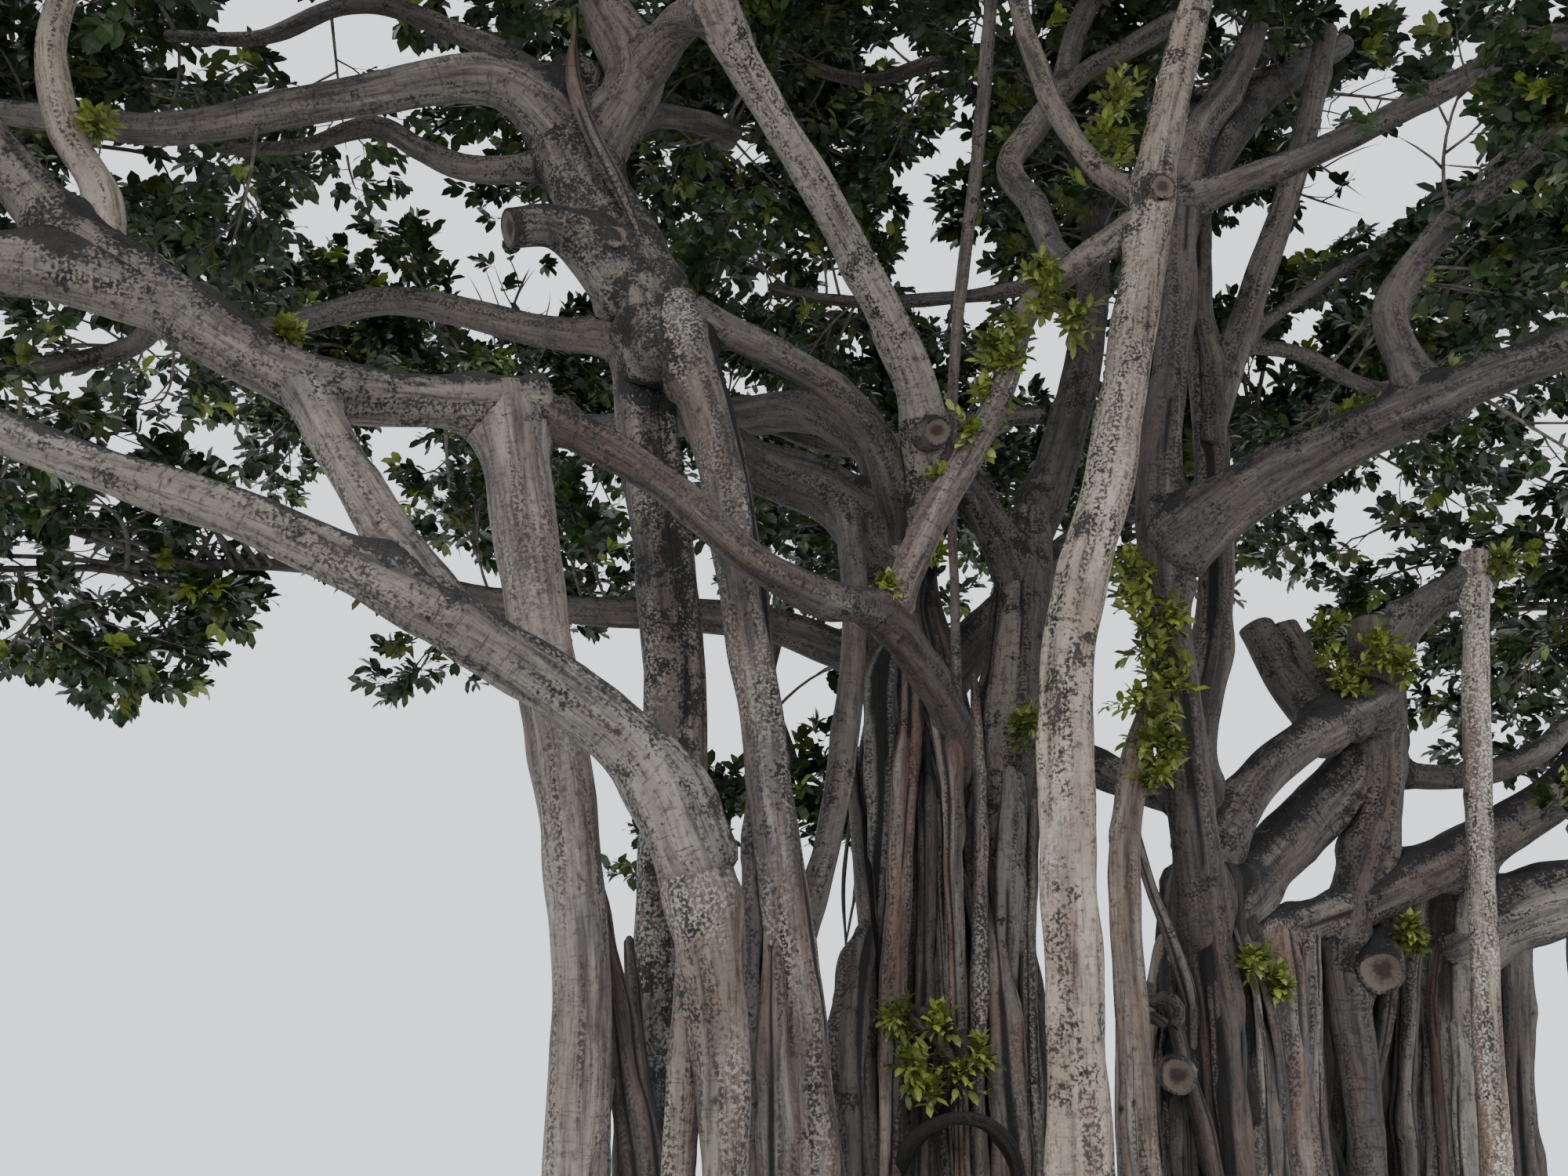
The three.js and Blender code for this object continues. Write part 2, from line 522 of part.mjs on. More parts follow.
const tree = new THREE.Group();
tree.name = "banyan_tree";
for (const [name, solid] of Object.entries(limbSolids))
  addNode(tree, name, solid, paleLimbs.includes(name) ? paleBark : bark);
Object.keys(masses).forEach((name, i) => addNode(tree, name, massSolid(name, i + 1), leaf));

export default tree;
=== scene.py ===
import math
import time

import bpy
import numpy as np
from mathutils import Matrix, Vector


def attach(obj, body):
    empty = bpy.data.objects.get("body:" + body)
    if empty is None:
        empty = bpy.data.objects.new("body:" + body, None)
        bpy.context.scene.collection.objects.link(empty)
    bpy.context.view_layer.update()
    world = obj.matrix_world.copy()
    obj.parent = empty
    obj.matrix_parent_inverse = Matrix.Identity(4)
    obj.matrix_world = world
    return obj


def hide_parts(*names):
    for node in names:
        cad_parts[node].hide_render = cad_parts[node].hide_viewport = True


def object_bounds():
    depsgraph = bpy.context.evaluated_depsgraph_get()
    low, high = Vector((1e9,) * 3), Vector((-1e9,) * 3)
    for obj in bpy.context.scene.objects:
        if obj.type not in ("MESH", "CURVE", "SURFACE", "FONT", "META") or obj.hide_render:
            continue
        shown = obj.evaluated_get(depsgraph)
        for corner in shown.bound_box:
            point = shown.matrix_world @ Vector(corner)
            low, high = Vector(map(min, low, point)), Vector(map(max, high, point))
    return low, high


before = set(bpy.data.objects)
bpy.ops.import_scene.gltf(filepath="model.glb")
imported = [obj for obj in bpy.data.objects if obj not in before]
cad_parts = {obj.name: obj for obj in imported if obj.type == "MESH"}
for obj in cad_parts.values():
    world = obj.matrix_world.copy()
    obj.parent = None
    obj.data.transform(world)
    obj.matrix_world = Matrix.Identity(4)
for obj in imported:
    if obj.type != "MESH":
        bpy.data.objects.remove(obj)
cadBox = [list(corner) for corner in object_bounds()]
startedAt = time.time()


# The first seed of each set of random draws. Those of the bark stand with its regions.
seeds = {"curtains": 35, "looseRoots": 500, "crown": 11, "sprigs": 700, "leaves": 23, "sprouts": 5}


def report(stage):
    print(f"{stage}: {time.time() - startedAt:.0f} s")


# Camera: at eye height in front of the trunk, tilted up into the crown.
cameraLook = {"place": (-0.85, -9.5, 1.6), "tilt": 19.29, "lens": 36.0, "sensor": 36.0, "far": 400.0}


def addCamera(look):
    data = bpy.data.cameras.new("main_camera")
    data.lens = look["lens"]
    data.sensor_width = look["sensor"]
    data.clip_end = look["far"]
    camera = bpy.data.objects.new("main_camera", data)
    camera.location = look["place"]
    camera.rotation_euler = (math.radians(90 + look["tilt"]), 0, 0)
    bpy.context.scene.collection.objects.link(camera)
    bpy.context.scene.camera = camera


addCamera(cameraLook)


# Limbs. `through` is the centre line from root to tip and `radii` are spread evenly along it.
# `flare` widens a foot on the ground and `strands` are further roots or sawn stubs fused to the limb.
limbs = {
    "trunk": {
        "through": [[0.06, 0, 0], [0.06, 0, 1.4], [0.06, 0, 2.6], [0.0, 0, 3.8], [-0.13, 0, 4.9],
                    [-0.14, 0, 5.5]],
        "radii": [0.62, 0.6, 0.57, 0.5, 0.39, 0.31, 0.27], "flare": 0.32,
    },
    "right_trunk": {
        "through": [[1.56, -0.4, 0], [1.53, -0.4, 1.4], [1.56, -0.4, 2.4], [1.57, -0.4, 3.0]],
        "radii": [0.4, 0.37, 0.35, 0.26], "flare": 0.3,
    },
    "left_pillar": {
        "through": [[-1.7, -2.6, 0], [-1.71, -2.6, 1.6], [-1.72, -2.6, 2.25], [-1.82, -2.6, 3.0],
                    [-2.03, -2.6, 4.07], [-2.2, -2.6, 4.98]],
        "radii": [0.16, 0.15, 0.135, 0.125, 0.138, 0.148, 0.165], "flare": 0.4,
    },
    "front_pillar": {
        "through": [[-1.08, -3.1, 0], [-1.09, -3.1, 1.9], [-1.15, -3.1, 2.35], [-1.24, -3.1, 2.76]],
        "radii": [0.074, 0.07, 0.075, 0.11, 0.165], "flare": 0.6,
        "strands": [
            {"through": [[-1.27, -2.98, 0], [-1.26, -2.98, 1.6], [-1.2, -3.06, 2.5]],
             "radii": [0.065, 0.058, 0.07]},
        ],
    },
    "slim_pillars": {
        "through": [[-1.48, -1.5, 0], [-1.52, -1.5, 2.2], [-1.5, -1.5, 3.8], [-1.6, -1.5, 4.8],
                    [-1.74, -1.58, 5.95]],
        "radii": [0.1, 0.09, 0.088, 0.094, 0.092], "flare": 0.5,
        "strands": [
            {"through": [[-1.34, -1.42, 0], [-1.38, -1.42, 2.2], [-1.38, -1.42, 3.8],
                         [-1.47, -1.42, 4.8], [-1.6, -1.5, 5.9]],
             "radii": [0.1, 0.09, 0.085, 0.085, 0.08]},
        ],
    },
    "bent_pillar": {
        "through": [[-0.8, -2, 0], [-0.78, -2, 1.9], [-0.86, -2, 2.75], [-1.03, -1.9, 4.05],
                    [-1.24, -1.86, 5.25], [-1.45, -1.75, 5.95]],
        "radii": [0.24, 0.225, 0.2, 0.13, 0.108, 0.122, 0.138, 0.15], "flare": 0.35,
    },
    "pale_pillar": {
        "through": [[0.4, -2.3, 0], [0.47, -2.3, 2.8], [0.51, -2.3, 3.7], [0.78, -2.3, 4.75],
                    [1.04, -2.3, 5.95], [1.2, -2.3, 6.7], [1.46, -2.3, 7.6], [1.75, -2.3, 8.4]],
        "radii": [0.15, 0.138, 0.124, 0.12, 0.12, 0.12, 0.114, 0.09, 0.075], "flare": 0.5,
    },
    "pale_root": {
        "through": [[0.89, -1.3, 0], [0.91, -1.3, 2.1], [0.93, -1.25, 2.95], [1.08, -1.1, 3.6],
                    [1.33, -0.97, 4.1]],
        "radii": [0.1, 0.094, 0.09, 0.08, 0.07], "flare": 0.5,
    },
    "twisted_pillar": {
        "through": [[2.5, 0.2, 0], [2.55, 0.2, 2.0], [2.56, 0.2, 2.75], [2.88, 0.2, 3.6],
                    [2.97, 0.2, 4.7]],
        "radii": [0.15, 0.125, 0.11, 0.125, 0.15, 0.16], "flare": 0.4,
    },
    "edge_pillar": {
        "through": [[3.1, -0.1, 0], [3.17, -0.1, 1.6], [3.4, -0.1, 3.83], [3.57, -0.1, 5.1]],
        "radii": [0.092, 0.085, 0.078, 0.085], "flare": 0.5,
    },
    "broad_pillar": {
        "through": [[3.28, 0.9, 0], [3.32, 0.88, 1.4], [3.41, 0.8, 2.6], [3.46, 0.6, 3.2]],
        "radii": [0.26, 0.245, 0.225, 0.17], "flare": 0.35,
        "strands": [
            {"through": [[3.42, 0.75, 2.75], [3.95, 0.72, 2.98], [4.6, 0.85, 3.1], [5.25, 1.15, 3.3]],
             "radii": [0.2, 0.24, 0.23, 0.19]},
            {"through": [[5.1, 1.08, 0], [5.12, 1.1, 1.8], [5.16, 1.12, 3.2]], "radii": [0.17, 0.15, 0.14]},
        ],
    },
    "second_stem": {
        "through": [[0.4, -0.15, 2.9], [0.5, -0.2, 3.6], [0.62, -0.2, 4.6], [0.72, -0.1, 5.35]],
        "radii": [0.22, 0.21, 0.195, 0.15],
        "strands": [
            {"through": [[0.63, -0.2, 4.8], [0.38, -0.4, 5.32], [0.1, -0.66, 5.52]],
             "radii": [0.12, 0.108, 0.095]},
            {"through": [[0.55, -0.15, 3.9], [1.0, -0.15, 3.72], [1.42, -0.7, 3.4]],
             "radii": [0.12, 0.1, 0.09]},
        ],
    },
    "riser": {
        "through": [[0.7, -0.12, 5.15], [0.98, 0, 5.9], [1.24, 0.1, 6.8], [1.35, 0.2, 8.1],
                    [1.07, 0.2, 8.9], [0.9, 0.2, 9.7]],
        "radii": [0.15, 0.135, 0.118, 0.1, 0.08, 0.07],
    },
    "left_stem": {
        "through": [[-1.53, -1.7, 5.65], [-1.66, -1.7, 6.2], [-2.0, -1.7, 6.8], [-2.12, -1.7, 7.25],
                    [-2.1, -1.72, 7.55]],
        "radii": [0.19, 0.22, 0.23, 0.22, 0.15],
        "strands": [
            {"through": [[-1.75, -1.75, 6.02], [-1.95, -1.9, 6.26], [-2.13, -2, 6.34],
                         [-2.34, -2.1, 6.27]],
             "radii": [0.16, 0.15, 0.122, 0.108], "sawn": True},
        ],
    },
    "right_stem": {
        "through": [[1.52, -0.5, 2.6], [1.42, -0.84, 3.2], [1.34, -0.97, 4.3], [1.36, -1, 5.3],
                    [1.55, -1, 6.3], [1.67, -1, 7.2]],
        "radii": [0.15, 0.13, 0.14, 0.145, 0.115, 0.1, 0.09],
    },
    "fluted_stem": {
        "through": [[1.58, -0.36, 2.8], [1.57, -0.4, 3.7], [1.75, -0.4, 4.45], [1.84, -0.4, 5.3],
                    [1.86, -0.4, 6.5], [1.8, -0.8, 7.25]],
        "radii": [0.13, 0.115, 0.112, 0.105, 0.092, 0.08],
    },
    "right_riser": {
        "through": [[1.87, -0.4, 5.9], [2.22, -0.45, 6.8], [2.59, -0.5, 7.75], [2.87, -0.62, 8.75]],
        "radii": [0.082, 0.074, 0.07, 0.06],
    },
    "low_left_bough": {
        "through": [[-1.2, -3.1, 2.65], [-1.36, -3.12, 3.0], [-1.72, -3.2, 3.31], [-2.29, -3.4, 3.64],
                    [-2.95, -3.62, 3.93], [-3.98, -3.8, 4.26], [-5.3, -3.9, 5.0]],
        "radii": [0.18, 0.135, 0.12, 0.1, 0.088, 0.08, 0.072],
    },
    "upper_left_bough": {
        "through": [[-2.05, -2.58, 4.98], [-2.48, -2.76, 4.9], [-3.02, -3.05, 4.85],
                    [-3.59, -3.25, 5.13], [-4.18, -3.4, 5.54], [-4.75, -3.7, 6.25]],
        "radii": [0.12, 0.13, 0.138, 0.146, 0.13, 0.112, 0.1],
        "strands": [
            {"through": [[-3.62, -3.27, 5.15], [-4.1, -3.42, 5.22], [-4.7, -3.55, 5.2]],
             "radii": [0.14, 0.14, 0.13], "sawn": True},
        ],
    },
    "left_strut": {
        "through": [[-2.25, -3.4, 3.62], [-2.62, -3.3, 4.16], [-2.85, -3.2, 4.51], [-3.06, -3.08, 4.86]],
        "radii": [0.12, 0.104, 0.1, 0.1],
    },
    "left_riser": {
        "through": [[-3.93, -3.32, 5.35], [-3.97, -3.3, 5.66], [-4.2, -3.3, 6.02], [-4.34, -3.3, 6.45],
                    [-4.33, -3.26, 7.1]],
        "radii": [0.085, 0.08, 0.075, 0.068, 0.06],
    },
    "crossing_limb": {
        "through": [[-2.1, -2.58, 4.97], [-1.42, -2.5, 4.57], [-1.04, -2.4, 4.25], [-0.69, -2.1, 4.15],
                    [-0.32, -1.7, 4.16], [0.1, -0.9, 3.78], [0.12, -0.3, 3.5]],
        "radii": [0.1, 0.088, 0.09, 0.1, 0.106, 0.106, 0.1],
    },
    "crossing_fork": {
        "through": [[-0.32, -1.7, 4.14], [-0.1, -1.75, 4.62], [0.32, -1.9, 5.38], [0.45, -2.02, 5.8],
                    [0.68, -2.12, 5.99], [1.06, -2.3, 6.2]],
        "radii": [0.09, 0.086, 0.076, 0.074, 0.077],
    },
    "slanting_root": {
        "through": [[-0.82, -1.92, 2.35], [-0.61, -1.4, 3.1], [-0.5, -1.1, 3.8], [-0.44, -0.9, 4.56],
                    [-0.48, -0.4, 5.3], [-0.55, -0.25, 5.5]],
        "radii": [0.08, 0.074, 0.077, 0.07, 0.085, 0.09],
    },
    "high_left_bough": {
        "through": [[-2.1, -1.75, 7.08], [-2.5, -1.92, 7.35], [-3.29, -2.1, 7.1], [-4.3, -2.05, 6.94],
                    [-5.2, -1.8, 7.2]],
        "radii": [0.17, 0.125, 0.108, 0.095, 0.078],
    },
    "mid_left_bough": {
        "through": [[-1.66, -1.6, 5.84], [-2.18, -1.6, 5.9], [-3.15, -1.42, 6.2], [-3.9, -1.3, 6.08],
                    [-4.7, -0.95, 6.35]],
        "radii": [0.1, 0.089, 0.082, 0.064, 0.05],
    },
    "rear_low_bough": {
        "through": [[-0.12, -0.15, 5.1], [-0.6, -0.3, 5.46], [-1.1, -0.45, 5.62], [-1.6, -1.4, 5.8]],
        "radii": [0.2, 0.185, 0.15, 0.12],
    },
    "leaning_limb": {
        "through": [[0.0, -0.3, 5.1], [-0.03, -1.08, 5.66], [-0.59, -1.9, 6.5], [-1.14, -2.6, 7.13],
                    [-1.3, -3.1, 7.4], [-1.2, -4.1, 7.95]],
        "radii": [0.155, 0.14, 0.112, 0.1, 0.104, 0.1, 0.088],
    },
    "shoulder_limb": {
        "through": [[-1.35, -1.78, 5.9], [-0.94, -1.6, 5.79], [-0.4, -1.15, 5.6], [-0.1, -0.35, 5.15]],
        "radii": [0.095, 0.09, 0.1, 0.12],
    },
    "crown_fork_left": {
        "through": [[-1.95, -1.7, 6.95], [-1.7, -1.88, 7.42], [-1.89, -1.9, 7.85], [-2.1, -1.85, 8.35]],
        "radii": [0.13, 0.16, 0.14, 0.11],
    },
    "crown_fork_right": {
        "through": [[-1.68, -1.9, 7.42], [-1.42, -2.25, 7.5], [-1.2, -2.66, 7.2]],
        "radii": [0.12, 0.11, 0.1],
    },
    "rear_crown_branch": {
        "through": [[-1.93, -1.6, 7.1], [-1.72, -1.1, 7.7], [-1.25, 0.3, 8.6], [-1.3, 1.1, 9.1]],
        "radii": [0.09, 0.08, 0.078, 0.07],
    },
    "rear_left_bough": {
        "through": [[-0.1, -0.05, 5.15], [-0.2, 0, 5.85], [-0.6, 0.3, 6.3], [-1.14, 1.0, 6.62],
                    [-2.3, 2.1, 7.05], [-3.0, 2.9, 7.45]],
        "radii": [0.16, 0.15, 0.14, 0.115, 0.08],
    },
    "rear_rail": {
        "through": [[-0.2, 0.05, 4.4], [-1.0, 0.1, 4.72], [-2.27, 0.2, 4.85], [-3.7, 1.05, 5.35]],
        "radii": [0.125, 0.108, 0.086, 0.065],
    },
    "right_bough": {
        "through": [[1.4, -1.05, 4.8], [1.78, -1.28, 5.06], [2.1, -1.5, 5.17], [2.65, -2.1, 5.28],
                    [3.3, -2.6, 5.42], [4.15, -3.3, 6.1]],
        "radii": [0.19, 0.17, 0.12, 0.1, 0.084, 0.075],
    },
    "high_right_bough": {
        "through": [[1.64, -1, 7.12], [2.51, -1.2, 7.4], [3.15, -1.45, 7.63], [3.87, -1.5, 7.99],
                    [4.6, -1.0, 8.1]],
        "radii": [0.095, 0.08, 0.076, 0.072, 0.066],
    },
    "dark_bough": {
        "through": [[1.68, -0.98, 7.08], [2.25, -0.6, 8.08], [2.73, -0.25, 8.67], [3.1, 0.2, 9.15]],
        "radii": [0.095, 0.118, 0.112, 0.09],
    },
    "right_fork_low": {
        "through": [[1.6, -0.35, 2.78], [2.26, 0.08, 3.33], [2.96, 0.38, 4.0]],
        "radii": [0.17, 0.185, 0.15],
    },
    "right_fork_high": {
        "through": [[1.6, -0.42, 3.1], [2.05, -0.36, 3.68], [2.92, 0.08, 4.2]],
        "radii": [0.13, 0.127, 0.13],
    },
    "stump_arm": {
        "through": [[2.97, 0.18, 4.5], [3.26, 0.06, 4.82], [3.6, -0.08, 4.98]],
        "radii": [0.125, 0.116, 0.1],
    },
    "low_rail": {
        "through": [[1.5, -0.42, 2.48], [2.0, -0.12, 2.72], [2.62, 0.2, 2.95]],
        "radii": [0.125, 0.114, 0.11], "flare": 0.3,
        "strands": [
            {"through": [[1.99, 0.14, 0], [2.03, 0.06, 1.6], [2.08, 0.0, 2.8]],
             "radii": [0.14, 0.125, 0.11]},
            {"through": [[2.16, -0.06, 0], [2.18, -0.04, 1.5], [2.24, 0.02, 2.85]],
             "radii": [0.085, 0.075, 0.07]},
        ],
    },
    "low_right_bough": {
        "through": [[2.64, 0.2, 2.95], [3.3, 0.35, 3.24], [4.22, 0.6, 3.73], [5.0, 0.95, 4.5]],
        "radii": [0.145, 0.158, 0.15, 0.1],
    },
    "back_bough": {
        "through": [[-0.1, 0.1, 4.5], [-0.1, 1.6, 5.9], [0.0, 3.1, 6.9], [0.05, 4.3, 7.5]],
        "radii": [0.17, 0.14, 0.11, 0.085],
    },
    "back_right_bough": {
        "through": [[0.1, 0.05, 4.3], [1.2, 1.2, 5.6], [2.2, 2.35, 6.6], [2.95, 3.1, 7.3]],
        "radii": [0.17, 0.14, 0.11, 0.085],
    },
}

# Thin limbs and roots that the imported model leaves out. They go with the mesh of their region.
thinLimbs = {
    "left": [
        {"through": [[-2.31, -1.70, 6.92], [-2.72, -1.70, 6.92], [-2.97, -1.70, 7.04],
                     [-3.24, -1.70, 7.20], [-3.67, -1.70, 7.07], [-4.12, -1.70, 7.04]],
         "radii": [0.082, 0.073, 0.064, 0.046, 0.032], "name": "left_limb"},
        {"through": [[-2.12, -1.60, 7.5], [-2.46, -1.60, 7.74], [-2.86, -1.60, 7.96],
                     [-3.45, -1.60, 8.17], [-4.05, -1.60, 7.91], [-4.60, -1.60, 7.93]],
         "radii": [0.08, 0.072, 0.063, 0.048, 0.038], "name": "high_left_limb"},
        {"through": [[-3.7, -3.1, 5.25], [-4.2, -2.4, 5.36], [-4.69, -2.6, 5.14], [-5.3, -2.8, 5.05]],
         "radii": [0.06, 0.055, 0.05, 0.035], "name": "low_left_limb"},
        {"through": [[-1.76, -1.75, 6.3], [-1.77, -1.93, 6.29], [-1.775, -1.99, 6.285]],
         "radii": [0.09, 0.065, 0.055], "sawn": True},
        {"through": [[0.0, -1.05, 5.52], [0.02, -1.2, 5.46], [0.03, -1.29, 5.43]],
         "radii": [0.1, 0.085, 0.075], "sawn": True},
        {"through": [[-0.9, 0.15, 4.68], [-0.95, 0.7, 4.45], [-0.8, 1.1, 4.1], [-0.65, 1.3, 3.75]],
         "radii": [0.05, 0.045, 0.035, 0.025], "name": "low_back_limb"},
    ],
    "right": [
        {"through": [[0.8, -1.7, 6.24], [0.73, -1.5, 6.49], [0.68, -1.2, 6.99], [0.58, -1.0, 7.41],
                     [0.76, -0.9, 7.76], [0.97, -0.8, 8.1], [1.13, -0.7, 8.68], [1.5, -1.1, 9.3],
                     [1.9, -1.6, 9.9]],
         "radii": [0.07, 0.085, 0.09, 0.085, 0.075, 0.07, 0.06, 0.04], "name": "elbow_limb"},
        {"through": [[1.3, 0.2, 8.3], [1.07, 0.3, 8.86], [0.63, 0.35, 9.24], [0.28, 0.4, 9.27],
                     [-0.19, 0.5, 9.2], [-0.79, 0.6, 9.47], [-1.28, 0.7, 9.96]],
         "radii": [0.07, 0.068, 0.064, 0.06, 0.054, 0.045, 0.035], "name": "high_limb"},
        {"through": [[1.67, -1.15, 8.4], [1.4, -1.0, 8.31], [1.16, -0.9, 8.22], [0.92, -0.85, 8.0]],
         "radii": [0.07, 0.075, 0.07, 0.06]},
        {"through": [[1.64, -1.0, 7.2], [1.84, -0.9, 7.76], [2.1, -0.8, 8.16], [2.33, -0.7, 8.65],
                     [2.48, -0.6, 9.16], [2.7, -0.9, 9.8]],
         "radii": [0.09, 0.1, 0.095, 0.085, 0.075, 0.05], "name": "split_limb"},
        {"through": [[1.86, -0.5, 5.75], [1.9, -0.5, 6.26], [1.83, -0.6, 6.61], [1.86, -0.65, 7.15],
                     [1.76, -0.85, 7.35]],
         "radii": [0.06, 0.055, 0.05, 0.055, 0.06]},
        {"through": [[1.25, 0.1, 7.3], [0.86, 0.4, 7.35], [0.39, 0.6, 7.38], [-0.38, 0.8, 7.46],
                     [-0.95, 1.0, 7.7]],
         "radii": [0.06, 0.056, 0.05, 0.046, 0.035], "name": "back_limb"},
        {"through": [[1.8, -0.42, 6.44], [2.00, -0.40, 6.46], [2.53, -0.20, 6.51], [3.19, 0.20, 6.45],
                     [3.9, 0.6, 6.7]],
         "radii": [0.06, 0.056, 0.052, 0.048, 0.04], "name": "right_limb"},
        {"through": [[0.9, 0.1, 6.2], [0.3, 0.4, 6.28], [-0.4, 0.9, 6.3], [-1.0, 1.0, 6.55]],
         "radii": [0.06, 0.055, 0.05, 0.05]},
        {"through": [[2.55, -0.05, 3.95], [2.38, 0.1, 4.25], [2.2, 0.2, 4.72]],
         "radii": [0.14, 0.115, 0.105], "sawn": True},
        {"through": [[2.75, 0.2, 4.15], [2.55, 0.3, 4.45], [2.42, 0.36, 4.74]],
         "radii": [0.1, 0.12, 0.14], "sawn": True},
        {"through": [[1.32, -0.5, 1.96], [1.24, -0.75, 1.93], [1.2, -0.97, 1.9]],
         "radii": [0.09, 0.1, 0.095], "sawn": True},
        {"through": [[2.85, 0.35, 2.72], [2.78, 0.2, 2.62], [2.7, 0.0, 2.53]],
         "radii": [0.1, 0.12, 0.125], "sawn": True},
        {"through": [[2.6, -1.98, 5.2], [2.52, -1.96, 5.45], [2.43, -2.0, 5.79], [2.6, -2.05, 6.1],
                     [2.9, -2.15, 6.4], [3.2, -2.3, 6.6]],
         "radii": [0.1, 0.105, 0.095, 0.08, 0.06, 0.045], "name": "short_limb"},
        {"through": [[2.15, -0.42, 6.4], [2.19, -0.42, 6.51], [2.53, -0.3, 6.83], [2.96, -0.1, 7.19],
                     [3.51, 0.1, 7.59], [4.12, 0.3, 8.18]],
         "radii": [0.045, 0.045, 0.042, 0.038, 0.034, 0.028], "name": "side_limb"},
        {"through": [[2.95, 0.25, 3.85], [3.07, 0.3, 3.79], [3.35, 0.3, 3.76], [3.66, 0.35, 3.8],
                     [4.01, 0.4, 3.94], [4.5, 0.7, 4.3]],
         "radii": [0.09, 0.085, 0.08, 0.075, 0.07, 0.05]},
    ],
    "pale": [
        {"through": [[1.12, -2.25, 6.3], [0.86, -2.2, 6.57], [0.68, -2.15, 6.94], [0.6, -2.1, 7.26],
                     [0.51, -2.1, 7.67], [0.55, -2.1, 8.3]],
         "radii": [0.06, 0.064, 0.066, 0.062, 0.055, 0.045]},
        {"through": [[1.11, -2.25, 6.3], [1.12, -2.41, 6.3], [1.13, -2.46, 6.29]],
         "radii": [0.085, 0.062, 0.055], "sawn": True},
    ],
    "pillars": [
        {"through": [[5.1, 1.1, 3.25], [5.6, 1.45, 3.5], [6.0, 2.1, 4.3], [5.95, 2.8, 5.2]],
         "radii": [0.19, 0.17, 0.13, 0.09, 0.06]},
    ],
    "trunks": [
        {"through": [[0.6, -1.05, 9.7], [0.55, -1.0, 9.1], [0.50, -1.00, 8.52], [0.38, -1.00, 7.47],
                     [0.20, -1.00, 6.22], [0.14, -1.00, 5.31], [0.13, -0.90, 3.72],
                     [0.09, -0.90, 2.60], [0.1, -0.86, 1.3], [0.08, -0.84, 0]],
         "radii": [0.05, 0.048, 0.046, 0.042, 0.036, 0.028, 0.024, 0.02, 0.02, 0.02, 0.024]},
    ],
}

